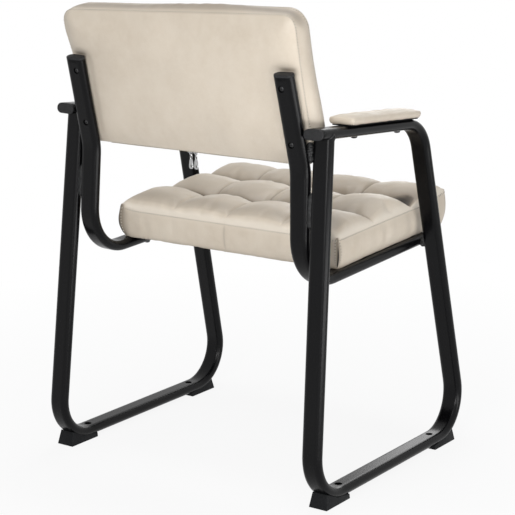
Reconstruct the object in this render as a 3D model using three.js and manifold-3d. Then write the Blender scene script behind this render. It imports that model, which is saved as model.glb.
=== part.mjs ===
// A sled base visitor chair: two bent tube sleds, two rails that carry the seat and the back, and padded arms.
// Lengths are in millimetres. +Z is up, the sitter faces -Y, and the floor is at zero height.
import * as THREE from "three";
import { mergeVertices } from "three/addons/utils/BufferGeometryUtils.js";
import Module from "manifold-3d";

const wasm = await Module();
wasm.setup();

// Clearances
const contactGap = 0.3;
const cutOverrun = 6;

// Flat-oval tube, with its wide face across the chair
const tubeWidth = 38;
const tubeThickness = 19;
const tubeWall = 1.5;

// Sled: the line of its tube in the plane of one side, which leans inward by splayAngle
const splayAngle = THREE.MathUtils.degToRad(1.6);
const sledClearance = 45.5;
const runnerAxisHeight = 16.5;
const rearFootY = 249.5;
const rearLegLean = THREE.MathUtils.degToRad(5.7);
const frontFootY = -274.4;
const frontLegLean = THREE.MathUtils.degToRad(13.9);
const armRearY = 218;
const armRearHeight = 651;
const armFall = THREE.MathUtils.degToRad(3.8);
const armBendRadius = 66;
const floorBendRadius = 76;
const legStop = 3;
const weldCollarHeight = 7;
const weldCollarSize = 1.2;

// Seat and back rail, in a plane beside the sled's
const railInset = 42.6;
const kinkUnderArm = 68;
const rearCrossUnderArm = 133.4;
const postLean = THREE.MathUtils.degToRad(14.7);
const postLength = 170;
const uprightLean = THREE.MathUtils.degToRad(2.7);
const seatRise = THREE.MathUtils.degToRad(2.5);
const railHeightAtMiddle = 387.5;
const railFrontY = -203;
const kinkRadius = 90;
const railBendRadius = 82;

// Plugs
const plugHead = 4;
const plugSpigot = 14;
const plugEdge = 1.2;

// Welds between rail and legs
const rearWeldLength = 56;
const rearWeldRadius = 6.5;
const frontWeldRadius = 9;

// Glides
const glideLength = 76;
const glideBaseWidth = 37.5;
const glideTopWidth = 32;
const glideEndHeight = 27;
const glideEndSlope = 8;
const glideThinHeight = 9;
const glideOuterY = 228;
const glideScrewInset = 9;
const glideScrewHeadRadius = 4;
const glideScrewHeadHeight = 2.6;
const glideScrewRadius = 2;
const glideScrewBite = 4;
const glideAccessRadius = 5.5;

// Seat
const seatRearY = 97;
const seatDepth = 375;
const seatWidth = 487;
const seatBoxing = 57;
const seatDome = 14;
const seatTuft = 12;
const seatSideBulge = 12;
const seatEndBulge = 8;
const seatDrawIn = 2;
const seatCorner = 4;
const seatUnderTuck = 3.5;
const seatColumnShares = [0.25, 0.25, 0.25, 0.25];
const seatRowShares = [0.27, 0.33, 0.4];
const seatBoardThickness = 12;
const seatBoardMargin = 4;
const dustCoverThickness = 1;
const seatBoltInset = 7;
const seatBoltRadius = 3;
const seatBoltHeadRadius = 5.5;
const seatBoltHeadHeight = 3.5;
const seatBoltPitch = 205;
const seatBoltFirst = 55;

// Backrest, measured along and across the posts from the kink
const backOverhang = 6.5;
const backBottom = 3;
const backHeight = 259;
const backThickness = 48;
const backDome = 8;
const backTuft = 11;
const backSideBulge = 4;
const backCrownShare = 1.3;
const backDrawIn = 3;
const backCorner = 13;
const backRearBulge = 5;
const backColumnShares = [1 / 3, 1 / 3, 1 / 3];
const backRowShares = [0.5, 0.5];
const backBoardThickness = 12;
const backBoardDepth = 8;
const backBoardMargin = 17;
const backScrewLow = 49.5;
const backScrewPitch = 100;
const backScrewInset = 4;
const backScrewRadius = 2.6;
const backScrewHeadRadius = 4.7;
const backScrewHeadHeight = 3;
const backScrewSink = 1;
const postAccessRadius = 5.6;

// T-nuts, shared by the seat and the back
const nutWall = 1.4;
const nutFlange = 1.2;
const nutFlangeRadius = 6;

// Zip along the bottom edge of the backrest
const zipEndInset = 50;
const zipTapeWidth = 27;
const zipTapeThickness = 0.9;
const zipDepth = 20;
const zipSink = 1.8;
const zipTeethWidth = 5;
const zipTeethHeight = 1.4;
const zipRestX = 19.5;
const zipRestSpacing = 11.5;
const zipSliderLength = 9;
const zipSliderWidth = 8;
const zipSliderHeight = 3;
const zipLoopWire = 1.2;
const zipLoopInside = 4.6;
const zipLoopDrop = 5;
const zipPullLength = 26;
const zipPullWidth = 7.6;
const zipPullThickness = 1.5;
const zipPullSlotWidth = 2.6;
const zipPullSlotLength = 6;
const zipKnuckleWall = 0.9;

// Arm pads, on the arm tube
const padFromBend = 96.5;
const padLength = 230;
const padWidth = 50;
const padHeight = 12;
const padCrown = 5;
const padBulge = 2;
const padCorner = 6;
const padBoardThickness = 8;
const padBoardShow = 2;
const padBoardMargin = 3;
const padScrewPitch = 144;
const padScrewRadius = 2.2;
const padScrewHeadRadius = 6;
const padScrewHeadHeight = 4.5;
const padScrewBite = 6;

// Widths that follow the seat's
const sledSpacing = seatWidth + 2 * sledClearance;
const backWidth = seatWidth + 2 * backOverhang;
const zipLength = backWidth - 2 * zipEndInset;

// Counts
const creaseShare = 0.5;
const ovalSegments = 5;
const bendSteps = 6;
const kinkSteps = 2;
const roundSegments = 10;
const edgeSegments = 1;

const SIDES = { right: -1, left: 1 };
const ACROSS = new THREE.Vector3(1, 0, 0);

// Materials
function material(color, roughness, metalness = 0) {
  return new THREE.MeshStandardMaterial({ color, roughness, metalness });
}
const powderCoat = material(0x202123, 0.5, 0.3);
const plugPlastic = material(0x2c2d2f, 0.7);
const glideRubber = material(0x1d1e20, 0.8);
const leathercloth = material(0xd6cab8, 0.45);
const plywood = material(0xb08a5c, 0.8);
const blackCloth = material(0x17171a, 0.95);
const blackSteel = material(0x1b1b1d, 0.4, 0.8);
const zincSteel = material(0x9a9c9f, 0.35, 0.9);
const zipTapeCloth = material(0xc9bca8, 0.9);

// Geometry to solid and back
function solid(geometry) {
  const bare = geometry.index ? geometry : mergeVertices(stripped(geometry), 1e-4);
  const merged = mergeVertices(stripped(bare), 1e-4);
  const vertProperties = new Float32Array(merged.getAttribute("position").array);
  const triVerts = new Uint32Array(merged.index.array);
  return new wasm.Manifold(new wasm.Mesh({ numProp: 3, vertProperties, triVerts }));
}

function stripped(geometry) {
  const copy = geometry.clone();
  copy.deleteAttribute("normal");
  copy.deleteAttribute("uv");
  return copy;
}

function geometryOf(body) {
  const mesh = body.getMesh();
  const corners = new Float32Array(mesh.numVert * 3);
  for (let i = 0; i < mesh.numVert; i++) {
    corners.set(mesh.vertProperties.subarray(i * mesh.numProp, i * mesh.numProp + 3), i * 3);
  }
  const geometry = new THREE.BufferGeometry();
  geometry.setAttribute("position", new THREE.BufferAttribute(corners, 3));
  geometry.setIndex(new THREE.BufferAttribute(new Uint32Array(mesh.triVerts), 1));
  geometry.computeVertexNormals();
  return geometry;
}

function united(bodies) {
  return bodies.reduce((a, b) => a.add(b));
}

function lessAll(body, cutters) {
  return cutters.reduce((a, b) => a.subtract(b), body);
}

// Basic solids, each made along +Z or centred
function block(x, y, z) {
  return solid(new THREE.BoxGeometry(x, y, z));
}

function rod(radius, length, segments = roundSegments) {
  return solid(new THREE.CylinderGeometry(radius, radius, length, segments).rotateX(Math.PI / 2));
}

function turned(profile, segments = roundSegments) {
  const points = profile.map(([r, z]) => new THREE.Vector2(r, z));
  return solid(new THREE.LatheGeometry(points, segments).rotateX(Math.PI / 2));
}

function moved(body, x, y, z) {
  return body.translate([x, y, z]);
}

function matrixFor(x, y, z, rotateX = 0) {
  return new THREE.Matrix4().makeRotationX(rotateX).setPosition(x, y, z);
}

// Flat-oval outline, wide along its first axis
function oval(width, thickness) {
  const radius = thickness / 2;
  const reach = width / 2 - radius;
  const shape = new THREE.Shape();
  shape.absarc(reach, 0, radius, -Math.PI / 2, Math.PI / 2);
  shape.absarc(-reach, 0, radius, Math.PI / 2, 1.5 * Math.PI);
  return shape;
}

// A line of straights and round bends in the plane of one side, with a ring only where it turns
class BentPath extends THREE.Curve {
  constructor(corners, radii, steps) {
    super();
    this.points = [];
    this.tangents = [];
    corners.forEach((corner, i) => this.addCorner(corners, radii, steps, i, corner));
  }

  addRing(point, direction) {
    this.points.push(new THREE.Vector3(0, point.x, point.y));
    this.tangents.push(new THREE.Vector3(0, direction.x, direction.y));
  }

  addCorner(corners, radii, steps, i, corner) {
    const into = i > 0 ? corner.clone().sub(corners[i - 1]).normalize() : null;
    const out = i < corners.length - 1 ? corners[i + 1].clone().sub(corner).normalize() : null;
    if (!into || !out) {
      this.addRing(corner, into ?? out);
      return;
    }
    const turn = Math.atan2(into.cross(out), into.dot(out));
    const radius = radii[i - 1];
    const start = corner.clone().addScaledVector(into, -radius * Math.tan(Math.abs(turn) / 2));
    const side = new THREE.Vector2(-into.y, into.x).multiplyScalar(Math.sign(turn) * radius);
    const centre = start.clone().add(side);
    for (let k = 0; k <= steps[i - 1]; k++) {
      const angle = (turn * k) / steps[i - 1];
      const point = start.clone().rotateAround(centre, angle);
      this.addRing(point, into.clone().rotateAround(new THREE.Vector2(), angle));
    }
  }

  getPointAt(share, target = new THREE.Vector3()) {
    return target.copy(this.points[Math.round(share * (this.points.length - 1))]);
  }

  getTangentAt(share, target = new THREE.Vector3()) {
    return target.copy(this.tangents[Math.round(share * (this.points.length - 1))]);
  }

  computeFrenetFrames() {
    const tangents = this.tangents;
    const normals = tangents.map(() => ACROSS.clone());
    const binormals = tangents.map((tangent) => tangent.clone().cross(ACROSS));
    return { tangents, normals, binormals };
  }
}

function sweep(path, shape) {
  const steps = path.points.length - 1;
  const options = { extrudePath: path, steps, curveSegments: ovalSegments, bevelEnabled: false };
  return solid(new THREE.ExtrudeGeometry(shape, options));
}

function hollowOval(width, thickness, wall) {
  const shape = oval(width, thickness);
  shape.holes.push(oval(width - 2 * wall, thickness - 2 * wall));
  return shape;
}

function ovalPrism(width, thickness, length, bevel = 0) {
  const flat = { depth: length - bevel, curveSegments: ovalSegments, steps: 1 };
  const round = { bevelSize: bevel, bevelThickness: bevel, bevelSegments: edgeSegments };
  const shape = oval(width - 2 * bevel, thickness - 2 * bevel);
  return solid(new THREE.ExtrudeGeometry(shape, { ...flat, ...round, bevelEnabled: bevel > 0 }));
}

// Points and directions in the plane of one side, as (y, height)
function point(y, height) {
  return new THREE.Vector2(y, height);
}

function leaning(angle) {
  return new THREE.Vector2(Math.sin(angle), Math.cos(angle));
}

function level(angle) {
  return new THREE.Vector2(Math.cos(angle), Math.sin(angle));
}

function crossing(start, direction, other, otherDirection) {
  const share = other.clone().sub(start).cross(otherDirection) / direction.cross(otherDirection);
  return start.clone().addScaledVector(direction, share);
}

// Sled line
const armRear = point(armRearY, armRearHeight);
const armDirection = level(armFall);
const frontFoot = point(frontFootY, runnerAxisHeight);
const frontLegDirection = leaning(frontLegLean);
const rearFoot = point(rearFootY, runnerAxisHeight);
const rearLegDirection = leaning(-rearLegLean);
const armFront = crossing(armRear, armDirection, frontFoot, frontLegDirection);
const legUnderArm = crossing(armRear, armDirection, rearFoot, rearLegDirection);
const armBendTurn = Math.PI / 2 - armFall - frontLegLean;
const armBendReach = armBendRadius * Math.tan(armBendTurn / 2);
const legTop = legUnderArm.clone().addScaledVector(rearLegDirection, -tubeThickness / 2 - legStop);
const sledPath = new BentPath(
  [armRear, armFront, frontFoot, rearFoot, legTop],
  [armBendRadius, floorBendRadius, floorBendRadius],
  [bendSteps, bendSteps, bendSteps],
);

// Rail line
const rearCrossHeight = armRearHeight - rearCrossUnderArm;
const rearCross = crossing(rearFoot, rearLegDirection, point(0, rearCrossHeight), point(1, 0));
const kinkLevel = point(0, armRearHeight - kinkUnderArm);
const kink = crossing(rearCross, leaning(-uprightLean), kinkLevel, point(1, 0));
const postDirection = leaning(postLean);
const postTop = kink.clone().addScaledVector(postDirection, postLength);
const railDirection = level(-seatRise);
const railMiddle = point(0, railHeightAtMiddle);
const railCorner = crossing(kink, leaning(-uprightLean), railMiddle, railDirection);
const railFront = crossing(railMiddle, railDirection, point(railFrontY, 0), point(0, 1));
const railRadii = [kinkRadius, railBendRadius];
const railSteps = [kinkSteps, bendSteps];
const railPath = new BentPath([postTop, kink, railCorner, railFront], railRadii, railSteps);

// Frames: each is a group, placed once
const chair = new THREE.Group();

function frame(parent, x, y, z, rotateX = 0, rotateY = 0) {
  const group = new THREE.Group();
  group.position.set(x, y, z);
  group.rotation.set(rotateX, rotateY, 0);
  parent.add(group);
  group.updateWorldMatrix(true, false);
  return group;
}

function piece(parent, name, body, look) {
  const mesh = new THREE.Mesh(geometryOf(body), look);
  mesh.name = name;
  parent.add(mesh);
}

function inFrame(target, source, body) {
  const matrix = target.matrixWorld.clone().invert().multiply(source.matrixWorld);
  return body.transform(matrix.elements);
}

function placed(body, x, y, z, rotateX = 0) {
  return body.transform(matrixFor(x, y, z, rotateX).elements);
}

const sleds = {};
const rails = {};
const arms = {};
for (const [side, sign] of Object.entries(SIDES)) {
  sleds[side] = frame(chair, (sign * sledSpacing) / 2, 0, 0, 0, -sign * splayAngle);
  rails[side] = frame(sleds[side], -sign * railInset, 0, railInset * Math.tan(splayAngle));
  const padCentre = armFront.clone().addScaledVector(armDirection, armBendReach + padFromBend);
  arms[side] = frame(sleds[side], 0, padCentre.x, padCentre.y, armFall);
}

// A spot on the rails' line, seen in another frame
function railSpot(side, target, spot) {
  const local = new THREE.Vector3(0, spot.x, spot.y);
  return target.worldToLocal(rails[side].localToWorld(local));
}

const seatBase = crossing(railMiddle, railDirection, point(seatRearY, 0), point(0, 1));
const seatRest = tubeThickness / 2 + 2 * contactGap;
const seatHeight = railSpot("left", chair, seatBase).z;
const kinkWorldHeight = railSpot("left", chair, kink).z;
const seat = frame(chair, 0, seatBase.x, seatHeight, -seatRise);
const back = frame(chair, 0, kink.x, kinkWorldHeight, -postLean);

// Fasteners, head up along +Z with the bearing face at zero
function screwBody(headRadius, headHeight, radius, length) {
  return turned([
    [0, -length],
    [radius, -length],
    [radius, 0],
    [headRadius, 0],
    [headRadius, headHeight / 2],
    [headRadius * 0.7, headHeight],
    [0, headHeight],
  ]);
}

// T-nut, flange up along +Z with the board's face at zero
function nutBody(radius, boardThickness) {
  const bore = radius + contactGap;
  const barrel = bore + nutWall;
  return turned([
    [bore, -boardThickness / 2],
    [barrel, -boardThickness / 2],
    [barrel, 0],
    [nutFlangeRadius, 0],
    [nutFlangeRadius, nutFlange],
    [bore, nutFlange],
    [bore, -boardThickness / 2],
  ]);
}

// What a board loses to a T-nut and its screw
function nutSpace(radius, boardThickness) {
  const barrel = radius + 2 * contactGap + nutWall;
  const deep = boardThickness + cutOverrun;
  return turned([
    [0, -deep],
    [barrel, -deep],
    [barrel, -contactGap],
    [nutFlangeRadius + contactGap, -contactGap],
    [nutFlangeRadius + contactGap, nutFlange + contactGap],
    [0, nutFlange + contactGap],
  ]);
}

// Places along the sled and rail
const glideScrewY = glideOuterY - glideLength + glideScrewInset;
const ENDS = { rear: 1, front: -1 };
const frontCross = crossing(frontFoot, frontLegDirection, railMiddle, railDirection);
const railTopFace = tubeThickness / 2;
const seatBoltPlaces = [seatBoltFirst, seatBoltFirst + seatBoltPitch];
const backScrewPlaces = { low: backScrewLow, high: backScrewLow + backScrewPitch };
const padScrewPlaces = { rear: padScrewPitch / 2, front: -padScrewPitch / 2 };

// Local frames of the fasteners, so that holes and screws share one place
const screwFrames = { glide: {}, seat: {}, back: {}, arm: {} };
for (const [side, sign] of Object.entries(SIDES)) {
  for (const [end, towards] of Object.entries(ENDS)) {
    const key = `${end}_${side}`;
    screwFrames.glide[key] = frame(sleds[side], 0, towards * glideScrewY, runnerAxisHeight);
  }
  seatBoltPlaces.forEach((distance, i) => {
    const spot = seatBase.clone().addScaledVector(railDirection, -distance);
    const key = `${i === 0 ? "rear" : "front"}_${side}`;
    const place = railSpot(side, seat, spot);
    screwFrames.seat[key] = frame(seat, place.x - sign * seatBoltInset, place.y, place.z, Math.PI);
  });
  for (const [end, distance] of Object.entries(backScrewPlaces)) {
    const spot = kink.clone().addScaledVector(postDirection, distance);
    const turn = -Math.PI / 2 - postLean;
    screwFrames.back[`${end}_${side}`] = frame(rails[side], -sign * backScrewInset, spot.x, spot.y, turn);
  }
  for (const [end, distance] of Object.entries(padScrewPlaces)) {
    screwFrames.arm[`${end}_${side}`] = frame(arms[side], 0, distance, 0, Math.PI);
  }
}

// Sleds
function sledBody(side) {
  const home = sleds[side];
  const tube = sweep(sledPath, hollowOval(tubeWidth, tubeThickness, tubeWall));
  const collarWidth = tubeWidth + weldCollarSize;
  const collarThickness = tubeThickness + weldCollarSize;
  const collarLength = tubeThickness / 2 + weldCollarHeight;
  const collar = placed(
    ovalPrism(collarWidth, collarThickness, collarLength),
    0,
    legUnderArm.x - collarLength * rearLegDirection.x,
    legUnderArm.y - collarLength * rearLegDirection.y,
    rearLegLean,
  );
  const bore = oval(tubeWidth - tubeWall, tubeThickness - tubeWall);
  const armCore = sweep(new BentPath([armRear, armFront], [], []), bore);
  const joined = tube.add(collar.subtract(armCore));
  const holes = [];
  for (const end of Object.keys(ENDS)) {
    const place = screwFrames.glide[`${end}_${side}`];
    const access = moved(rod(glideAccessRadius, tubeThickness), 0, 0, tubeThickness / 2);
    const through = moved(rod(glideScrewRadius + contactGap, tubeThickness), 0, 0, -tubeThickness / 2);
    holes.push(inFrame(home, place, access), inFrame(home, place, through));
    const armPlace = screwFrames.arm[`${end}_${side}`];
    const armHole = rod(padScrewRadius + contactGap, tubeThickness + cutOverrun);
    holes.push(inFrame(home, armPlace, armHole));
  }
  return lessAll(joined, holes);
}

// Rails
function railBody(side) {
  const home = rails[side];
  const tube = sweep(railPath, hollowOval(tubeWidth, tubeThickness, tubeWall));
  const holes = [];
  for (const end of Object.keys(backScrewPlaces)) {
    const place = screwFrames.back[`${end}_${side}`];
    const access = moved(rod(postAccessRadius, tubeThickness), 0, 0, tubeThickness / 2);
    const through = moved(rod(backScrewRadius + contactGap, tubeThickness), 0, 0, -tubeThickness / 2);
    holes.push(inFrame(home, place, access), inFrame(home, place, through));
  }
  for (const end of Object.keys(ENDS)) {
    const bolt = rod(seatBoltRadius + contactGap, tubeThickness + cutOverrun);
    holes.push(inFrame(home, screwFrames.seat[`${end}_${side}`], bolt));
  }
  return lessAll(tube, holes);
}

// Plug with a rounded head, its bearing face at zero and the head along +Z
function plugBody() {
  const head = ovalPrism(tubeWidth, tubeThickness, plugHead, plugEdge);
  const flat = block(2 * tubeWidth, 2 * tubeWidth, 2 * tubeWidth);
  const cap = moved(head, 0, 0, contactGap).subtract(moved(flat, 0, 0, contactGap - tubeWidth));
  const spigotWidth = tubeWidth - 2 * tubeWall - 2 * contactGap;
  const spigotThickness = tubeThickness - 2 * tubeWall - 2 * contactGap;
  const spigot = ovalPrism(spigotWidth, spigotThickness, plugSpigot + plugHead / 2);
  return cap.add(moved(spigot, 0, 0, -plugSpigot));
}

function addPlug(home, name, spot, outward) {
  const turn = Math.atan2(-outward.x, outward.y);
  piece(home, name, placed(plugBody(), 0, spot.x, spot.y, turn), plugPlastic);
}

// Tube grown by the contact gap, to cut what lies against it
const grownOval = oval(tubeWidth + 2 * contactGap, tubeThickness + 2 * contactGap);
const grownSled = sweep(sledPath, grownOval);
const collarSpan = weldCollarSize + 2 * contactGap;
const collarOval = oval(tubeWidth + collarSpan, tubeThickness + collarSpan);
const armSleeve = sweep(new BentPath([armRear, armFront], [], []), collarOval);
const legSleeve = sweep(new BentPath([legUnderArm, rearFoot], [], []), collarOval);
const sledSleeve = armSleeve.add(legSleeve);
const plugTop = postTop.clone().addScaledVector(postDirection, plugHead + 2 * contactGap);
const grownRail = sweep(
  new BentPath([plugTop, kink, railCorner, railFront], railRadii, railSteps),
  grownOval,
);

function rearWeld(side, sign) {
  const profile = [
    [0, -rearWeldLength / 2],
    [rearWeldRadius / 2, -rearWeldLength / 2],
    [rearWeldRadius, -rearWeldLength / 2 + rearWeldRadius / 2],
    [rearWeldRadius, rearWeldLength / 2 - rearWeldRadius / 2],
    [rearWeldRadius / 2, rearWeldLength / 2],
    [0, rearWeldLength / 2],
  ];
  const bead = moved(turned(profile), (-sign * railInset) / 2, rearCross.x, rearCross.y);
  return lessAll(bead, [grownSled, inFrame(sleds[side], rails[side], grownRail)]);
}

function frontWeld(side, sign) {
  const ball = solid(new THREE.SphereGeometry(frontWeldRadius, roundSegments, roundSegments / 2));
  const bead = moved(ball, (-sign * railInset) / 2, frontCross.x, frontCross.y);
  return lessAll(bead, [grownSled, inFrame(sleds[side], rails[side], grownRail)]);
}

// Glide: a wedge with a flared foot, cut by the tube that it carries
function glideBody(side, sign, end, towards) {
  const outline = new THREE.Shape();
  outline.moveTo(0, 0);
  outline.lineTo(glideLength, 0);
  outline.lineTo(glideLength - glideEndSlope, glideEndHeight);
  outline.lineTo(glideLength / 2, glideThinHeight + tubeThickness / 4);
  outline.lineTo(0, glideThinHeight);
  const extruded = new THREE.ExtrudeGeometry(outline, { depth: 1, steps: 1, bevelEnabled: false });
  const corners = extruded.getAttribute("position");
  for (let i = 0; i < corners.count; i++) {
    const along = corners.getX(i);
    const height = corners.getY(i);
    const width = glideBaseWidth + ((glideTopWidth - glideBaseWidth) * height) / glideEndHeight;
    corners.setXYZ(i, (corners.getZ(i) - 1 / 2) * width, along, height);
  }
  const centreX = (sign * sledSpacing) / 2;
  let wedge = solid(extruded);
  wedge = moved(wedge, 0, glideOuterY - glideLength, 0);
  if (towards < 0) wedge = wedge.rotate([0, 0, 180]);
  const screwHole = rod(glideScrewRadius + contactGap, 2 * (glideScrewBite + 2 * contactGap));
  const place = screwFrames.glide[`${end}_${side}`];
  const hole = inFrame(chair, place, moved(screwHole, 0, 0, -tubeThickness / 2));
  const seated = lessAll(moved(wedge, centreX, 0, 0), [inFrame(chair, sleds[side], grownSled), hole]);
  return biggest(seated);
}

function biggest(body) {
  const parts = body.decompose();
  return parts.reduce((a, b) => (b.volume() > a.volume() ? b : a));
}

function glideScrew() {
  const bite = tubeWall + contactGap + glideScrewBite;
  const screw = screwBody(glideScrewHeadRadius, glideScrewHeadHeight, glideScrewRadius, bite);
  return moved(screw, 0, 0, -tubeThickness / 2 + tubeWall + contactGap);
}

// Cushions: a box whose points are moved to the sewn form
function stations(shares, cells) {
  const values = [0];
  for (const share of shares) {
    const start = values[values.length - 1];
    for (let i = 1; i <= cells; i++) values.push(start + (share * i) / cells);
  }
  return values.map((value) => value / values[values.length - 1]);
}

function pillow(position, cells) {
  const within = (position % cells) / cells;
  return Math.sqrt(Math.sin(Math.PI * within));
}

function cushionBody(form) {
  const across = stations(form.columnShares, form.columnCells);
  const along = stations(form.rowShares, form.rowCells);
  const countX = across.length - 1;
  const countY = along.length - 1;
  const geometry = new THREE.BoxGeometry(1, 1, 1, countX, countY, form.layers);
  const corners = geometry.getAttribute("position");
  for (let i = 0; i < corners.count; i++) {
    const stepX = Math.round((corners.getX(i) + 1 / 2) * countX);
    const stepY = Math.round((corners.getY(i) + 1 / 2) * countY);
    const layer = corners.getZ(i) + 1 / 2;
    const u = 2 * across[stepX] - 1;
    const v = 2 * along[stepY] - 1;
    const pillowX = pillow(stepX, form.columnCells);
    const pillowY = pillow(stepY, form.rowCells);
    const border = stepX % countX === 0 || stepY % countY === 0;
    const ridge = border ? 0 : Math.max(pillowX, pillowY);
    const tuft = creaseShare * pillowX * pillowY + (1 - creaseShare) * ridge;
    corners.setXYZ(i, ...cushionPoint(form, u, v, layer, tuft));
  }
  return solid(geometry);
}

function cushionPoint(form, u, v, layer, tuft) {
  const swell = Math.sin(Math.PI * layer);
  const sideSwell = form.sideBulge * swell;
  const crown = v > 0 ? form.crownShare * (1 - u * u) : 0;
  const endSwell = form.endBulge * swell * (1 + crown);
  const tuck = form.underTuck * (1 - layer) ** 2;
  const cornerCut = form.corner * (u * v) ** 6;
  const halfX = form.width / 2 - form.drawIn * (1 - v * v) - cornerCut;
  const halfY = form.depth / 2 - cornerCut;
  const growX = (sideSwell - tuck) * (Math.abs(u) > 1 - 1e-6 ? 1 : 0);
  const growY = (endSwell - tuck) * (Math.abs(v) > 1 - 1e-6 ? 1 : 0);
  const dome = (1 - u ** 8) * (1 - v ** 8);
  const top = form.boxing + form.dome * dome + form.tuft * tuft;
  const bottom = -form.rearBulge * dome;
  const x = u * halfX + Math.sign(u) * growX;
  const y = v * halfY + Math.sign(v) * growY;
  return [x, y, bottom + (top - bottom) * layer];
}

const seatForm = {
  width: seatWidth,
  depth: seatDepth,
  boxing: seatBoxing,
  dome: seatDome,
  tuft: seatTuft,
  sideBulge: seatSideBulge,
  endBulge: seatEndBulge,
  crownShare: 0,
  drawIn: seatDrawIn,
  corner: seatCorner,
  underTuck: seatUnderTuck,
  rearBulge: 0,
  columnShares: seatColumnShares,
  rowShares: seatRowShares.toReversed(),
  columnCells: 5,
  rowCells: 5,
  layers: 3,
};

const backForm = {
  width: backWidth,
  depth: backHeight,
  boxing: backThickness,
  dome: backDome,
  tuft: backTuft,
  sideBulge: backSideBulge,
  endBulge: backSideBulge,
  crownShare: backCrownShare,
  drawIn: backDrawIn,
  corner: backCorner,
  underTuck: 0,
  rearBulge: backRearBulge,
  columnShares: backColumnShares,
  rowShares: backRowShares,
  columnCells: 5,
  rowCells: 5,
  layers: 3,
};

const padForm = {
  width: padWidth,
  depth: padLength,
  boxing: padHeight,
  dome: padCrown,
  tuft: 0,
  sideBulge: padBulge,
  endBulge: padBulge,
  crownShare: 0,
  drawIn: 0,
  corner: padCorner,
  underTuck: 1.2 * padBulge,
  rearBulge: 0,
  columnShares: [1],
  rowShares: [1],
  columnCells: 4,
  rowCells: 8,
  layers: 3,
};

// Seat pieces, in the seat's frame with the rails' top face below
const seatCentreY = -seatDepth / 2;
const coverBottom = seatRest;
const boardBottom = coverBottom + dustCoverThickness + contactGap;
const boardTop = boardBottom + seatBoardThickness;
const boardWidth = seatWidth - 2 * (seatUnderTuck + seatBoardMargin - contactGap);
const boardDepth = seatDepth - 2 * (seatUnderTuck + seatDrawIn + seatBoardMargin);

function seatNutFrames() {
  return Object.values(screwFrames.seat);
}

function seatNutSpaces() {
  const space = nutSpace(seatBoltRadius, seatBoardThickness);
  return seatNutFrames().map((place) => inFrame(seat, place, nutInPlace(space)));
}

// The bolts point up, so their frames are upside down
function nutInPlace(body) {
  return placed(body, 0, 0, -boardTop, Math.PI);
}

function seatBoard() {
  const board = moved(block(boardWidth, boardDepth, seatBoardThickness), 0, seatCentreY, 0);
  return lessAll(moved(board, 0, 0, (boardBottom + boardTop) / 2), seatNutSpaces());
}

function seatCushion() {
  const cushion = moved(cushionBody(seatForm), 0, seatCentreY, coverBottom);
  const depthCut = boardTop + contactGap - coverBottom + cutOverrun;
  const recess = block(boardWidth + 2 * contactGap, boardDepth + 2 * contactGap, depthCut);
  const hole = moved(recess, 0, seatCentreY, boardTop + contactGap - depthCut / 2);
  return lessAll(cushion, [hole, ...seatNutSpaces()]);
}

function dustCover() {
  const sheet = moved(block(boardWidth, boardDepth, dustCoverThickness), 0, seatCentreY, 0);
  const holes = seatNutFrames().map((place) => {
    const cutter = rod(seatBoltRadius + contactGap, 2 * boardTop + 2 * tubeThickness);
    return inFrame(seat, place, cutter);
  });
  return lessAll(moved(sheet, 0, 0, coverBottom + dustCoverThickness / 2), holes);
}

function seatBolt() {
  const underside = railTopFace + contactGap;
  const length = underside + boardTop;
  const bolt = screwBody(seatBoltHeadRadius, seatBoltHeadHeight, seatBoltRadius, length);
  return moved(bolt, 0, 0, underside);
}

// Backrest pieces, in the back's frame: rear along +Y, up along +Z
const backRear = -tubeThickness / 2 - contactGap;
const backBoardRear = backRear - backBoardDepth;
const backBoardFront = backBoardRear - backBoardThickness;
const backBoardWidth = backWidth - 2 * backBoardMargin;
const backBoardHeight = backHeight - 2 * backBoardMargin;
const backMiddle = backBottom + backHeight / 2;

function backNutSpaces() {
  const space = nutSpace(backScrewRadius, backBoardThickness);
  const places = Object.values(screwFrames.back);
  return places.map((place) => inFrame(back, place, placed(space, 0, 0, backBoardFront, Math.PI)));
}

function backBoard() {
  const board = block(backBoardWidth, backBoardThickness, backBoardHeight);
  const middleY = (backBoardRear + backBoardFront) / 2;
  return lessAll(moved(board, 0, middleY, backMiddle), backNutSpaces());
}

// Zip, in a frame at the middle of the backrest's bottom edge, with its face down
const zip = frame(back, 0, backRear - zipDepth, backBottom - zipSink);
const zipFace = -zipTapeThickness;

function zipSpace() {
  const depth = zipTapeWidth + 2 * contactGap;
  const space = block(zipLength + 2 * contactGap, depth, cutOverrun);
  return moved(space, 0, 0, contactGap - cutOverrun / 2);
}

function backCushion() {
  const form = cushionBody(backForm).transform(matrixFor(0, backRear, backMiddle, Math.PI / 2).elements);
  const pocketThickness = backBoardThickness + 2 * contactGap;
  const middleY = (backBoardRear + backBoardFront) / 2;
  const pocketSize = [backBoardWidth, pocketThickness, backBoardHeight];
  const pocket = block(...pocketSize.map((size, i) => (i === 1 ? size : size + 2 * contactGap)));
  const slotHeight = backBoardMargin + cutOverrun;
  const slot = block(zipLength - zipTapeWidth, pocketThickness, slotHeight);
  const slotMiddle = backBottom + backBoardMargin - slotHeight / 2 + contactGap;
  const posts = Object.values(rails).map((home) => inFrame(back, home, grownRail));
  const sleeves = Object.values(sleds).map((home) => inFrame(back, home, sledSleeve));
  const shanks = Object.values(screwFrames.back).map((place) => {
    const shank = rod(backScrewRadius + contactGap, 2 * tubeThickness + 2 * backBoardThickness);
    return inFrame(back, place, shank);
  });
  const cutters = [
    moved(pocket, 0, middleY, backMiddle),
    moved(slot, 0, middleY, slotMiddle),
    inFrame(back, zip, zipSpace()),
    ...posts,
    ...sleeves,
    ...shanks,
    ...backNutSpaces(),
  ];
  return lessAll(form, cutters);
}

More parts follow.
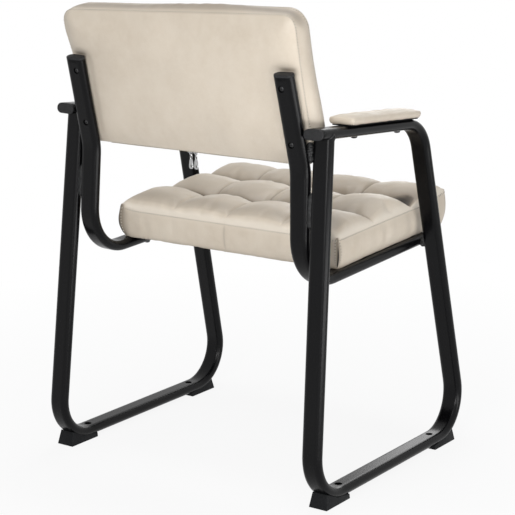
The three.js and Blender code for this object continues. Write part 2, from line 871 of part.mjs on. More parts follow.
function backScrew() {
  const bearing = tubeThickness / 2 - backScrewHeadHeight - backScrewSink;
  const length = bearing - backBoardFront;
  const screw = screwBody(backScrewHeadRadius, backScrewHeadHeight, backScrewRadius, length);
  return moved(screw, 0, 0, bearing);
}


function zipTape() {
  const tape = moved(block(zipLength, zipTapeWidth, zipTapeThickness), 0, 0, zipFace / 2);
  const teeth = block(zipLength - zipTeethWidth, zipTeethWidth, zipTeethHeight);
  return tape.add(moved(teeth, 0, 0, zipFace - zipTeethHeight / 2 + zipTapeThickness / 4));
}

const sliderTop = zipFace - zipTeethHeight - contactGap;
const loopBarHeight = sliderTop - zipSliderHeight - zipLoopDrop;

function zipSlider() {
  const housing = block(zipSliderLength, zipSliderWidth, zipSliderHeight);
  const body = moved(housing, 0, 0, sliderTop - zipSliderHeight / 2);
  const legX = (zipLoopInside + zipLoopWire) / 2;
  const legHeight = zipLoopDrop + zipSliderHeight / 2;
  const legs = [-legX, legX].map((x) => {
    const leg = block(zipLoopWire, zipLoopWire, legHeight);
    return moved(leg, x, 0, loopBarHeight + legHeight / 2);
  });
  const bar = block(zipLoopInside + 2 * zipLoopWire, zipLoopWire, zipLoopWire);
  return united([body, ...legs, moved(bar, 0, 0, loopBarHeight)]);
}

// The pull hangs by a knuckle round the loop's bar
function zipPull() {
  const bore = (zipLoopWire * Math.SQRT2) / 2 + contactGap;
  const outer = bore + zipKnuckleWall;
  const width = zipLoopInside - 2 * contactGap;
  const knuckle = solid(new THREE.CylinderGeometry(outer, outer, width, roundSegments).rotateZ(Math.PI / 2));
  const eye = new THREE.CylinderGeometry(bore, bore, width + cutOverrun, roundSegments);
  const plateLength = zipPullLength - outer;
  const plate = block(zipPullWidth, zipPullThickness, plateLength);
  const lowered = moved(plate, 0, 0, -bore - plateLength / 2);
  const neckCut = block(zipPullWidth, cutOverrun, zipLoopWire + contactGap);
  const necks = [-1, 1].map((sign) => {
    const x = (sign * (zipPullWidth + width)) / 2;
    return moved(neckCut, x, 0, -bore - (zipLoopWire + contactGap) / 2 + contactGap);
  });
  const slotShape = block(zipPullSlotWidth, 2 * outer, zipPullSlotLength);
  const slot = moved(slotShape, 0, 0, -zipPullLength + zipPullSlotLength);
  const made = lowered.add(knuckle).subtract(solid(eye.rotateZ(Math.PI / 2)));
  return lessAll(made, [...necks, slot]);
}

// Arm pads, in the arm's frame
const padBoardBottom = tubeThickness / 2 + contactGap;
const padBottom = padBoardBottom + padBoardShow;
const padBoardWidth = padWidth - 2 * (padBoardMargin + padBulge);
const padBoardLength = padLength - 2 * (padBoardMargin + padBulge);

function padBoard() {
  const board = block(padBoardWidth, padBoardLength, padBoardThickness);
  const holes = Object.values(padScrewPlaces).map((y) => {
    return moved(rod(padScrewRadius + contactGap, 2 * padScrewBite), 0, y, padBoardBottom);
  });
  return lessAll(moved(board, 0, 0, padBoardBottom + padBoardThickness / 2), holes);
}

function padCushion() {
  const width = padBoardWidth + 2 * contactGap;
  const length = padBoardLength + 2 * contactGap;
  const height = 2 * (padBoardThickness - padBoardShow + contactGap);
  return moved(cushionBody(padForm), 0, 0, padBottom).subtract(moved(block(width, length, height), 0, 0, padBottom));
}

function padScrew() {
  const bearing = tubeThickness / 2 + contactGap;
  const length = tubeThickness + contactGap + padScrewBite - contactGap;
  return moved(screwBody(padScrewHeadRadius, padScrewHeadHeight, padScrewRadius, length), 0, 0, bearing);
}

// Assembly
for (const [side, sign] of Object.entries(SIDES)) {
  piece(sleds[side], `sled_tube_${side}`, sledBody(side), powderCoat);
  piece(rails[side], `seat_back_rail_${side}`, railBody(side), powderCoat);
  addPlug(sleds[side], `arm_end_plug_${side}`, armRear, armDirection);
  addPlug(rails[side], `post_top_plug_${side}`, postTop, postDirection);
  addPlug(rails[side], `rail_front_plug_${side}`, railFront, railDirection.clone().negate());
  piece(sleds[side], `rear_weld_${side}`, rearWeld(side, sign), powderCoat);
  piece(sleds[side], `front_weld_${side}`, frontWeld(side, sign), powderCoat);
  for (const [end, towards] of Object.entries(ENDS)) {
    const key = `${end}_${side}`;
    piece(chair, `glide_${key}`, glideBody(side, sign, end, towards), glideRubber);
    piece(screwFrames.glide[key], `glide_screw_${key}`, glideScrew(), blackSteel);
    piece(screwFrames.seat[key], `seat_bolt_${key}`, seatBolt(), blackSteel);
    const seatNut = nutInPlace(nutBody(seatBoltRadius, seatBoardThickness));
    piece(screwFrames.seat[key], `seat_nut_${key}`, seatNut, zincSteel);
    piece(screwFrames.arm[key], `arm_screw_${key}`, padScrew(), blackSteel);
  }
  for (const end of Object.keys(backScrewPlaces)) {
    const key = `${end}_${side}`;
    const backNut = placed(nutBody(backScrewRadius, backBoardThickness), 0, 0, backBoardFront, Math.PI);
    piece(screwFrames.back[key], `back_screw_${key}`, backScrew(), blackSteel);
    piece(screwFrames.back[key], `back_nut_${key}`, backNut, zincSteel);
  }
  piece(arms[side], `arm_pad_board_${side}`, padBoard(), blackCloth);
  piece(arms[side], `arm_pad_${side}`, padCushion(), leathercloth);
  const pullX = zipRestX + (sign * zipRestSpacing) / 2;
  const slider = frame(zip, pullX, 0, 0);
  piece(slider, `zip_slider_${side}`, zipSlider(), zincSteel);
  const pull = frame(slider, 0, 0, loopBarHeight, postLean);
  piece(pull, `zip_pull_${side}`, zipPull(), zincSteel);
}
piece(seat, "seat_board", seatBoard(), plywood);
piece(seat, "seat_cushion", seatCushion(), leathercloth);
piece(seat, "seat_dust_cover", dustCover(), blackCloth);
piece(back, "back_board", backBoard(), plywood);
piece(back, "back_cushion", backCushion(), leathercloth);
piece(zip, "zip_tape", zipTape(), zipTapeCloth);

// The origin is on the floor, under the middle of the chair's box
const box = new THREE.Box3().setFromObject(chair, true);
chair.position.y = -(box.min.y + box.max.y) / 2;

export default chair;
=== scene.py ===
import math

import bmesh
import bpy
import numpy as np
from mathutils import Matrix, Vector
from mathutils.bvhtree import BVHTree
from mathutils.kdtree import KDTree


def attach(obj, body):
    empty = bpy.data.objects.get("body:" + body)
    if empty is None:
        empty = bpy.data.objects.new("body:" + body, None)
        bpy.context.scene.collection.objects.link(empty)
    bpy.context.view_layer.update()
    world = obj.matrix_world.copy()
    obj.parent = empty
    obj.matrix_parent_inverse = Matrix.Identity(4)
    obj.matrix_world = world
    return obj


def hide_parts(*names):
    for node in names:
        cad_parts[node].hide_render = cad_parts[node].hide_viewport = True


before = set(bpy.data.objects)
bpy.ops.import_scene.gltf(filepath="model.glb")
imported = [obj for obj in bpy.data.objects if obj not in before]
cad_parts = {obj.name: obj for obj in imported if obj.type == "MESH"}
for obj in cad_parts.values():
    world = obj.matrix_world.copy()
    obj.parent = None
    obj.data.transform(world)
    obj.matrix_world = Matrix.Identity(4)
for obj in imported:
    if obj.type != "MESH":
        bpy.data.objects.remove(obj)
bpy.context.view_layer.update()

# Lengths are in metres and angles in radians. Most of them repeat the sizes of the part's source.
BODY_CENTRE_Y = 0.0143367

TUBE_WIDTH = 0.038
TUBE_THICKNESS = 0.019

SPLAY = math.radians(1.6)
SLED_SPACING = 0.578
RUNNER_AXIS_HEIGHT = 0.0165
REAR_FOOT_Y = 0.2495
REAR_LEG_LEAN = math.radians(5.7)
FRONT_FOOT_Y = -0.2744
FRONT_LEG_LEAN = math.radians(13.9)
ARM_REAR_Y = 0.218
ARM_REAR_HEIGHT = 0.651
ARM_FALL = math.radians(3.8)
ARM_BEND_RADIUS = 0.066
FLOOR_BEND_RADIUS = 0.076

RAIL_INSET = 0.0426
KINK_UNDER_ARM = 0.068
REAR_CROSS_UNDER_ARM = 0.1334
POST_LEAN = math.radians(14.7)
POST_LENGTH = 0.170
UPRIGHT_LEAN = math.radians(2.7)
SEAT_RISE = math.radians(2.5)
RAIL_HEIGHT_AT_MIDDLE = 0.3875
RAIL_FRONT_Y = -0.203
KINK_RADIUS = 0.090
RAIL_BEND_RADIUS = 0.082
KINK_SPREAD_SHARE = 0.045
KINK_SPREAD_REACH = 0.07

# Straights longer than this get extra points, so that their shading stays flat
LONG_STRAIGHT = 0.03
STRAIGHT_STEP = 0.02
STRAIGHT_END = 0.004

PLUG_HEAD = 0.004
PLUG_EDGE = 0.0014
PLUG_DOME = 0.0008
PLUG_ROOT = 0.006
PLUG_DOME_SHARES = (0.75, 0.5, 0.25)

GLIDE_LENGTH = 0.076
GLIDE_BASE_WIDTH = 0.0375
GLIDE_TOP_WIDTH = 0.032
GLIDE_END_HEIGHT = 0.027
GLIDE_END_SLOPE = 0.008
GLIDE_THIN_HEIGHT = 0.009
GLIDE_OUTER_Y = 0.228
GLIDE_SCREW_INSET = 0.009
GLIDE_ACCESS_RADIUS = 0.0070
GLIDE_EDGE = 0.0011

REAR_WELD_LENGTH = 0.062
REAR_WELD_RADIUS = 0.0066
KINK_WELD_LENGTH = 0.036
KINK_WELD_RADIUS = 0.0062
KINK_WELD_RISE = 0.034
FRONT_WELD_RADIUS = 0.0085
BEAD_RIPPLE_LENGTH = 0.0042
BEAD_RIPPLE_SHARE = 0.09
BEAD_LUMP_LENGTH = 0.006
BEAD_LUMP_SHARE = 0.1
ARM_BEAD_RADIUS = 0.0017
ARM_BEAD_RIPPLE_SHARE = 0.12
ARM_BEAD_LUMP = 0.0004
ARM_BEAD_LUMP_LENGTH = 0.005

# Name, head radius, head height, bearing, shank radius and shank end of the screws with a cross recess
SCREWS = {
    "back": ("post_screw", 0.0047, 0.003, 0.0055, 0.0026, -0.0295),
    "arm": ("pad_screw", 0.006, 0.0045, 0.0098, 0.0022, -0.0155),
}
SCREW_RIM_SHARE = 0.25
SCREW_DOME_SHARE = 0.72
CROSS_SHARES = (0.52, 0.13)
CROSS_DEPTH_SHARE = 0.35
CROSS_FLARE_SHARES = (0.55, 1.45)

SEAT_REAR_Y = 0.097
SEAT_DEPTH = 0.375
SEAT_WIDTH = 0.487
SEAT_BOXING = 0.057
SEAT_STEPS = (0.0065, 0.0065, 0.0065)
SEAT_DOME = 0.0020
SEAT_TUFT = 0.0232
SEAT_GROOVE = 0.0022
SEAT_COLUMN_GROOVE_REACH = 0.002
SEAT_ROW_GROOVE_REACH = 0.004
SEAT_NODE = 0.011
SEAT_NODE_REACH = 0.03
SEAT_NODE_TIP = 0.002
SEAT_FOLD = 0.010
SEAT_FOLD_SHIFT = 0.009
SEAT_FOLD_REACH = 0.011
SEAT_FOLD_SPREAD = 0.008
SEAT_FOLD_END = 0.004
SEAT_FRONT_RIGHT_RISE = 0.012
SEAT_REAR_LEFT_RISE = 0.0055
SEAT_SIDE_BULGE = 0.006
SEAT_END_BULGE = 0.0045
SEAT_LEFT_BULGE = 0.004
SEAT_SQUARING = 0.005
SEAT_DRAW_IN = 0.002
SEAT_CORNER = 0.0065
SEAT_UNDER_TUCK = 0.0012
SEAT_CORNER_TUCK = 0.006
SEAT_CORNER_TUCK_REACH = 0.012
SEAT_SPARE_SHARE = 0.026
SEAT_CAP = 0.009
SEAT_COLUMN_SHARES = [0.25, 0.25, 0.25, 0.25]
SEAT_ROW_SHARES = [0.305, 0.36, 0.335]
SEAT_FRONT_SEAM_SHARE = SEAT_ROW_SHARES[0]
SEAT_REST = 0.0101
SEAT_RECESS = 0.0135
SEAT_RECESS_MARGIN = 0.0072

# Places of the seat where shade, shadow and a highlight are painted into the cover's colour
SEAT_EDGE_HIGHLIGHT_REACH = 0.005
SEAT_SLOPE_SHADE_SHARE = 0.4
SEAT_SLOPE_PLACE = 0.027
SEAT_SLOPE_REACH = 0.02
SEAT_VALLEY_BEHIND = 0.036
SEAT_VALLEY_BEFORE = 0.007
SEAT_GAP_AHEAD = 0.03
SEAT_GAP_BEHIND = 0.010
SEAT_SEAM_REACH = 0.0018
SEAT_HEM_REACH = 0.003
SEAT_LEFT_CORNER_REACH = 0.013
SEAT_CORNER_REACH = 0.0035

BACK_WIDTH = 0.500
BACK_BOTTOM = 0.003
BACK_HEIGHT = 0.259
BACK_THICKNESS = 0.048
BACK_STEPS = (0.0065, 0.0065, 0.006)
BACK_SPARE_SHARE = 0.03
BACK_CAP = 0.006
BACK_DOME = 0.008
BACK_TUFT = 0.011
BACK_SIDE_BULGE = 0.004
BACK_SIDE_SLACK = 0.0045
BACK_DRAW_IN = 0.003
BACK_CORNER = 0.036
BACK_LOW_CORNER = 0.022
BACK_REAR_BULGE = 0.0050
BACK_REAR_BULGE_REACH = 0.03
BACK_REAR_ROLL = 0.0080
BACK_ROLL_REACH = 0.012
BACK_TOP_SLOPE = 0.030
BACK_REAR = -0.0098
BACK_COLUMN_SHARES = [1 / 3, 1 / 3, 1 / 3]
BACK_ROW_SHARES = [0.5, 0.5]
BACK_SEAM_REACH = 0.0022
BACK_EDGE_REACH = 0.0016
BACK_SCREW_LOW = 0.0495
BACK_SCREW_PITCH = 0.100
BACK_SCREW_INSET = 0.004
BACK_SCREW_BEARING = 0.0045
POST_ACCESS_RADIUS = 0.0056
POST_PRESS_REACH = 0.017
POST_DENT = 0.0045
POST_DENT_ACROSS = 0.017
POST_DENT_DROP = 0.001
POST_DENT_ABOVE = 0.007

# How far the top of the backrest's boxing rises at places across it
CREST_PLACES = [-0.25, -0.172, -0.1, -0.062, 0.031, 0.085, 0.19, 0.25]
CREST_RISES = [-0.0085, -0.0005, 0.0044, 0.0048, 0.0025, -0.001, 0.0, -0.002]

PAD_FROM_BEND = 0.0965
PAD_LENGTH = 0.230
PAD_WIDTH = 0.050
PAD_HEIGHT = 0.012
PAD_STEPS = (0.0045, 0.0055, 0.003)
PAD_CROWN = 0.005
PAD_BULGE = 0.002
PAD_CORNER = 0.006
PAD_BOTTOM = 0.0118
PAD_UNDER = 0.0005
PAD_RECESS = 0.0063
PAD_RECESS_MARGIN = 0.0047
PAD_HEM_REACH = 0.002
PAD_SCREW_PITCH = 0.144

# Extra grid places beside the seams and the edges of the cushions
NEAR_SEAM = [0.0012, 0.003, 0.006]
NEAR_EDGE = NEAR_SEAM[:2]
TUFT_RAMP = 0.005

# Height, length and seed of the waves on each surface
WAVES = {
    "seat_boxing": (0.0004, 0.03, 21),
    "seat_top": (0.0016, 0.16, 4),
    "seat_fine": (0.0004, 0.03, 6),
    "seat_under": (0.0009, 0.026, 8),
    "back_boxing": (0.0003, 0.03, 31),
    "back_front": (0.001, 0.15, 34),
    "back_rear": (0.0008, 0.13, 35),
    "pad_side": (0.0003, 0.02, 41),
    "pad_top": (0.0004, 0.05, 42),
    "pad_under": (0.0007, 0.03, 43),
}

CLOTH_FRAMES = 20
CLOTH_PRESSURE = 4
CLOTH_BENDING = 0.3
CLOTH_GRID = 0.0072
CLOTH_BLEND = 0.6 * CLOTH_GRID

STITCH_PITCH = 0.0051
STITCH_LENGTH = 0.0026
STITCH_RADIUS = 0.0007
STITCH_ROW = 0.0048
# Place along a stitch and thickness there
STITCH_SHARES = ((0.0, 0.25), (0.14, 0.8), (0.35, 1.0), (0.65, 1.0), (0.86, 0.8), (1.0, 0.25))
NEEDLE_HOLE_LENGTH = 0.0016
NEEDLE_HOLE_RADIUS = 0.0013
CORNER_ROW = 0.0042
CORNER_ROW_SHARES = (0.06, 0.93)
GAP_SHARES = (0.03, 0.96)
GAP_RADIUS = 0.0011

ZIP_LENGTH = 0.400
ZIP_DEPTH = 0.020
ZIP_SINK = 0.0018
ZIP_TAPE_WIDTH = 0.018
ZIP_TAPE_THICKNESS = 0.0009
ZIP_TAPE_CLOTH = 0.0008
ZIP_RIPPLE = 0.0002
ZIP_RIPPLE_LENGTH = 0.031
ZIP_TOOTH_PITCH = 0.0021
ZIP_TEETH_WIDTH = 0.005
ZIP_TEETH_HEIGHT = 0.0014
ZIP_END = 0.004
ZIP_REST_X = 0.0195
ZIP_REST_SPACING = 0.0115

SLIDER_TOP = -0.0026
SLIDER_HALF_WIDTH = 0.0045
SLIDER_HALF_DEPTH = 0.004
SLIDER_HEIGHT = 0.003
SLIDER_EDGE = 0.0004
LOOP_BAR = -0.0106
LOOP_HALF_WIDTH = 0.0029
LOOP_SINK = 0.0025
LOOP_WIRE = 0.0006
PULL_TOP = -0.0075
PULL_LOW = -0.0258
PULL_HALF_WIDTH = 0.0043
PULL_THICKNESS = 0.0013
PULL_HOLE = (0.0013, 0.003)
PULL_HOLE_RISE = 0.0048
PULL_CUT_REACH = 0.002
BAIL_HALF_WIDTH = 0.0019
BAIL_HALF_LENGTH = 0.0048
BAIL_MIDDLE = -0.0042
BAIL_WIRE = 0.0007

CAMERA_PLACE = Vector((-1.80299, 2.57119, 1.10084))
CAMERA_FORWARD = Vector((0.5604, -0.7959, -0.2292))
CAMERA_ROLL = math.radians(-0.13)
CAMERA_LENS = 119.53

# Place, target, size and power of each lamp
LAMPS = {
    "key": ((-1.8, 0.5, 0.2), (0, 0.1, 0.24), (1.9, 0.36), 15),
    "rear": ((-1.1, 2.75, 1.1), (0, 0, 0.5), (1.1, 0.8), 39),
    "high": ((-0.4, 1.4, 2.1), (0, 0, 0.5), (0.7, 0.7), 7),
    "top": ((0.2, -0.3, 2.3), (0, 0, 0.45), (0.6, 0.6), 15),
    "front": ((0.7, -2.6, 1.2), (0, 0, 0.5), (1.2, 1.2), 12),
}
FLOOR_REACH = 9
FLOOR_COLOR = (0.82, 0.82, 0.83, 1)
FLOOR_FADE = (0.35, 1.4)
FLOOR_GLOW_SHARE = 0.9
SKY_COLOR = (0.96, 0.98, 1.0, 1)
SKY_STRENGTH = 0.15

SIDES = {"right": -1, "left": 1}
ENDS = {"rear": 1, "front": -1}
SQUARE = np.array([(-1, -1), (1, -1), (1, 1), (-1, 1)])
BEND_STEPS = 22
KINK_STEPS = 10
OVAL_STEPS = 12
ROUND_STEPS = 28
BEAD_STEPS = 40
BEAD_SIDES = 18

# Faces that meet at more than these angles, in degrees, keep a sharp edge between them
CUT_ANGLE = 35
MOULDED_ANGLE = 40
SCREW_ANGLE = 50
TEETH_ANGLE = 30
TINY = 1e-9


# Frames
def shifted(x, y, z):
    return Matrix.Translation((x, y, z))


def turned(angle, axis):
    return Matrix.Rotation(angle, 4, axis)


def along(way):
    """Turns a frame's Z along a direction in the plane of one side."""
    return turned(math.atan2(-way[0], way[1]), "X")


def spot(y, height):
    return np.array([y, height], float)


def leaning(angle):
    return np.array([math.sin(angle), math.cos(angle)])


def level(angle):
    return np.array([math.cos(angle), math.sin(angle)])


def at_height(start, direction, height):
    return start + direction * (height - start[1]) / direction[1]


def at_depth(start, direction, y):
    return start + direction * (y - start[0]) / direction[0]


def crossing(start, direction, other, other_direction):
    gap = other - start
    above = gap[0] * other_direction[1] - gap[1] * other_direction[0]
    below = direction[0] * other_direction[1] - direction[1] * other_direction[0]
    return start + direction * above / below


arm_rear = spot(ARM_REAR_Y, ARM_REAR_HEIGHT)
arm_direction = level(ARM_FALL)
front_foot = spot(FRONT_FOOT_Y, RUNNER_AXIS_HEIGHT)
front_leg = leaning(FRONT_LEG_LEAN)
rear_foot = spot(REAR_FOOT_Y, RUNNER_AXIS_HEIGHT)
rear_leg = leaning(-REAR_LEG_LEAN)
arm_front = crossing(arm_rear, arm_direction, front_foot, front_leg)
leg_under_arm = crossing(arm_rear, arm_direction, rear_foot, rear_leg)
rear_cross = at_height(rear_foot, rear_leg, ARM_REAR_HEIGHT - REAR_CROSS_UNDER_ARM)
upright = leaning(-UPRIGHT_LEAN)
kink = at_height(rear_cross, upright, ARM_REAR_HEIGHT - KINK_UNDER_ARM)
post_direction = leaning(POST_LEAN)
post_top = kink + post_direction * POST_LENGTH
rail_direction = level(-SEAT_RISE)
rail_middle = spot(0, RAIL_HEIGHT_AT_MIDDLE)
rail_corner = crossing(kink, upright, rail_middle, rail_direction)
rail_front = at_depth(rail_middle, rail_direction, RAIL_FRONT_Y)
front_cross = crossing(front_foot, front_leg, rail_middle, rail_direction)
seat_base = at_depth(rail_middle, rail_direction, SEAT_REAR_Y)
arm_bend_reach = ARM_BEND_RADIUS * math.tan((math.pi / 2 - ARM_FALL - FRONT_LEG_LEAN) / 2)
pad_centre = arm_front + arm_direction * (arm_bend_reach + PAD_FROM_BEND)

sleds, rails, arms = {}, {}, {}
for side, sign in SIDES.items():
    sleds[side] = shifted(sign * SLED_SPACING / 2, BODY_CENTRE_Y, 0) @ turned(-sign * SPLAY, "Y")
    rails[side] = sleds[side] @ shifted(-sign * RAIL_INSET, 0, RAIL_INSET * math.tan(SPLAY))
    arms[side] = sleds[side] @ shifted(0, *pad_centre) @ turned(ARM_FALL, "X")
seat_height = (rails["left"] @ Vector((0, *seat_base))).z
kink_height = (rails["left"] @ Vector((0, *kink))).z
seat = shifted(0, seat_base[0] + BODY_CENTRE_Y, seat_height) @ turned(-SEAT_RISE, "X")
back = shifted(0, kink[0] + BODY_CENTRE_Y, kink_height) @ turned(-POST_LEAN, "X")
# The backrest's form stands on its lower edge, with its tufts to the front
back_stand = back @ shifted(0, BACK_REAR, BACK_BOTTOM + BACK_HEIGHT / 2) @ turned(math.pi / 2, "X")
zip_home = back @ shifted(0, BACK_REAR - ZIP_DEPTH, BACK_BOTTOM - ZIP_SINK)


# Node materials
def added(tree, kind, inputs=(), **settings):
    """A new node with its settings, and with its sockets linked or set."""
    made = tree.nodes.new(kind)
    for key, value in settings.items():
        setattr(made, key, value)
    for socket, source in inputs:
        if isinstance(source, bpy.types.NodeSocket):
            tree.links.new(source, made.inputs[socket])
        else:
            made.inputs[socket].default_value = source
    return made


def linear(color):
    shares = [value / 255 for value in color]
    return [v / 12.92 if v <= 0.04045 else ((v + 0.055) / 1.055) ** 2.4 for v in shares]


class Look:
    def __init__(self, name, color, roughness, metallic=0.0, specular=0.5):
        self.material = bpy.data.materials.new(name)
        self.material.use_nodes = True
        self.tree = self.material.node_tree
        self.shader = self.tree.nodes["Principled BSDF"]
        self.shader.inputs["Base Color"].default_value = (*linear(color), 1)
        self.shader.inputs["Roughness"].default_value = roughness
        self.shader.inputs["Metallic"].default_value = metallic
        self.shader.inputs["Specular IOR Level"].default_value = specular
        self.normal = None
        self.place = self.node("ShaderNodeTexCoord").outputs["Object"]

    def node(self, kind, inputs=(), **settings):
        return added(self.tree, kind, inputs, **settings)

    def noise(self, scale, detail=2.0, roughness=0.5, place=None):
        inputs = [("Vector", place or self.place), ("Scale", scale)]
        inputs += [("Detail", detail), ("Roughness", roughness)]
        return self.node("ShaderNodeTexNoise", inputs).outputs["Fac"]

    def cells(self, scale, feature="F1"):
        inputs = [("Vector", self.place), ("Scale", scale)]
        return self.node("ShaderNodeTexVoronoi", inputs, feature=feature).outputs["Distance"]

    def bands(self, scale, distortion, **settings):
        inputs = [("Vector", self.place), ("Scale", scale), ("Distortion", distortion)]
        return self.node("ShaderNodeTexWave", inputs, **settings).outputs["Fac"]

    def math(self, operation, first, second=0.5):
        return self.node("ShaderNodeMath", [(0, first), (1, second)], operation=operation).outputs[0]

    def ranged(self, source, low, high, to_low=0, to_high=1):
        inputs = [("Value", source), ("From Min", low), ("From Max", high)]
        inputs += [("To Min", to_low), ("To Max", to_high)]
        return self.node("ShaderNodeMapRange", inputs).outputs["Result"]

    def mixed(self, factor, first, second):
        first, second = [(*linear(c), 1) if isinstance(c, tuple) else c for c in (first, second)]
        inputs = [(0, factor), (6, first), (7, second)]
        return self.node("ShaderNodeMix", inputs, data_type="RGBA").outputs[2]

    def attribute(self, name):
        return self.node("ShaderNodeAttribute", attribute_name=name).outputs["Fac"]

    def feed(self, socket, source):
        self.tree.links.new(source, self.shader.inputs[socket])

    def rough(self, grain, low, high):
        self.feed("Roughness", self.ranged(grain, 0.3, 0.7, low, high))

    def bump(self, height, strength, distance):
        inputs = [("Height", height), ("Strength", strength), ("Distance", distance)]
        if self.normal is not None:
            inputs.append(("Normal", self.normal))
        self.normal = self.node("ShaderNodeBump", inputs).outputs["Normal"]
        self.feed("Normal", self.normal)


def powder_coat():
    look = Look("powder_coat", (9, 9, 10), 0.34, specular=0.14)
    grain = look.noise(1500, 2, 0.6)
    color = look.mixed(look.noise(14, 3), (6, 6, 7), (11, 11, 13))
    speck = look.ranged(look.noise(2600, 1), 0.66, 0.74, 0, 0.3)
    look.feed("Base Color", look.mixed(speck, color, (60, 61, 63)))
    look.rough(grain, 0.2, 0.3)
    look.bump(grain, 0.4, 0.00007)
    look.bump(look.noise(420, 2), 0.12, 0.0004)
    return look.material


def weld_coat():
    look = Look("weld_coat", (20, 21, 22), 0.4, specular=0.3)
    lumps = look.noise(260, 4, 0.7)
    look.feed("Base Color", look.mixed(look.ranged(lumps, 0.45, 0.75), (12, 12, 13), (70, 70, 71)))
    look.rough(look.noise(900, 2), 0.25, 0.6)
    look.bump(lumps, 0.9, 0.0012)
    return look.material


def moulded(name, dark, light, roughness, grain_scale, specular=0.4):
    look = Look(name, dark, roughness, specular=specular)
    grain = look.noise(grain_scale, 3, 0.65)
    look.feed("Base Color", look.mixed(look.ranged(grain, 0.35, 0.7), dark, light))
    look.rough(look.noise(60, 2), roughness - 0.06, roughness + 0.08)
    look.bump(grain, 0.45, 0.0005)
    return look.material


def leathercloth():
    """The cushions' point attribute paints shade into the colour where it is above 0, a near-black painted
    shadow as it nears 1, and a painted highlight below 0.
    """
    look = Look("leathercloth", (214, 203, 187), 0.5, specular=0.4)
    fibres = look.noise(55, 4, 0.65)
    body = look.mixed(look.ranged(look.noise(7, 3, 0.6), 0.3, 0.7), (208, 195, 177), (219, 207, 190))
    body = look.mixed(look.ranged(fibres, 0.3, 0.75, 0, 0.5), body, (225, 215, 200))
    pores = look.ranged(look.cells(1100), 0.0, 0.55, 0.25, 0)
    body = look.mixed(pores, body, (176, 162, 143))
    # Painted shade, broken up a little by the fibres
    painted_light = look.attribute("painted_light")
    painted_light_marks = look.math("MULTIPLY", painted_light, look.ranged(fibres, 0.2, 0.8, 0.75, 1))
    body = look.mixed(painted_light_marks, body, (98, 84, 69))
    # Painted highlight where the attribute is below 0
    body = look.mixed(look.ranged(painted_light, -1, 0, 0.8, 0), body, (240, 231, 217))
    # Painted shadow, near black, where the attribute nears 1
    look.feed("Base Color", look.mixed(look.ranged(painted_light, 0.8, 1, 0, 0.95), body, (36, 31, 26)))
    look.rough(look.noise(24, 4), 0.44, 0.58)
    look.shader.inputs["Sheen Weight"].default_value = 0.12
    look.shader.inputs["Sheen Roughness"].default_value = 0.4
    look.bump(look.noise(90, 4, 0.6), 0.18, 0.0012)
    look.bump(look.cells(900, "SMOOTH_F1"), 0.16, 0.0005)
    look.bump(look.noise(2200, 2), 0.12, 0.0003)
    return look.material


def thread():
    look = Look("thread", (206, 192, 170), 0.6, specular=0.3)
    twist = look.bands(900, 1.5)
    look.feed("Base Color", look.mixed(twist, (222, 213, 198), (244, 238, 228)))
    look.bump(twist, 0.5, 0.0003)
    return look.material


def plywood():
    look = Look("plywood", (190, 158, 112), 0.7)
    stretched = look.node("ShaderNodeMapping", [("Vector", look.place), ("Scale", (4, 40, 90))])
    rings = look.noise(1, 5, 0.6, stretched.outputs["Vector"])
    look.feed("Base Color", look.mixed(rings, (150, 112, 70), (208, 178, 134)))
    look.bump(look.bands(95, 1, bands_direction="Z"), 0.3, 0.0004)
    look.bump(rings, 0.2, 0.0004)
    return look.material


def woven(name, dark, light, scale, roughness):
    look = Look(name, dark, roughness, specular=0.2)
    parts = look.node("ShaderNodeSeparateXYZ", [("Vector", look.place)]).outputs
    warp, weft = [look.math("SINE", look.math("MULTIPLY", parts[axis], scale)) for axis in "XY"]
    weave = look.ranged(look.math("MULTIPLY", warp, weft), -1, 1)
    look.feed("Base Color", look.mixed(look.math("MULTIPLY", weave, look.noise(300, 3)), dark, light))
    look.bump(weave, 0.6, 0.0003)
    return look.material


def metal(name, dark, light, roughness):
    look = Look(name, light, roughness, metallic=1.0)
    wear = look.noise(700, 4, 0.6)
    look.feed("Base Color", look.mixed(wear, dark, light))
    look.rough(look.noise(1500, 2), roughness - 0.08, roughness + 0.12)
    look.bump(wear, 0.15, 0.0002)
    return look.material


MATERIALS = {
    "frame_coat": powder_coat(),
    "plug_plastic": moulded("plug_plastic", (20, 20, 21), (58, 58, 59), 0.6, 700, 0.2),
    "glide_plastic": moulded("glide_plastic", (12, 13, 14), (28, 29, 31), 0.55, 500, 0.12),
    "upholstery": leathercloth(),
    "plywood": plywood(),
    "black_cloth": woven("black_cloth", (12, 12, 13), (44, 44, 46), 3200, 0.9),
    "tape_cloth": woven("tape_cloth", (150, 138, 120), (206, 194, 175), 5200, 0.85),
    "black_steel": moulded("black_steel", (10, 10, 11), (34, 34, 36), 0.26, 500, 0.6),
    "zinc_steel": metal("zinc_steel", (120, 122, 126), (176, 178, 182), 0.32),
    "zip_metal": metal("zip_metal", (132, 132, 134), (206, 206, 205), 0.2),
}
WELD = weld_coat()
THREAD = thread()
# Painted shadow: the dark piece inside the gaping corner seams
SHADOW = moulded("seam_gap", (20, 18, 16), (34, 30, 26), 0.85, 2000)
# Painted shade: the dark pieces in the needle holes between stitches
NEEDLE_HOLE_SHADE = moulded("needle_hole_shade", (62, 52, 41), (86, 72, 58), 0.8, 2000)


# Meshes
def placed(points, home):
    """Points of a local frame, in the frame of the scene."""
    return np.asarray(points, float).reshape(-1, 3) @ np.array(home.to_3x3()).T + np.array(home.translation)


def shown(name, data):
    made = bpy.data.objects.new(name, data)
    bpy.context.scene.collection.objects.link(made)
    return made


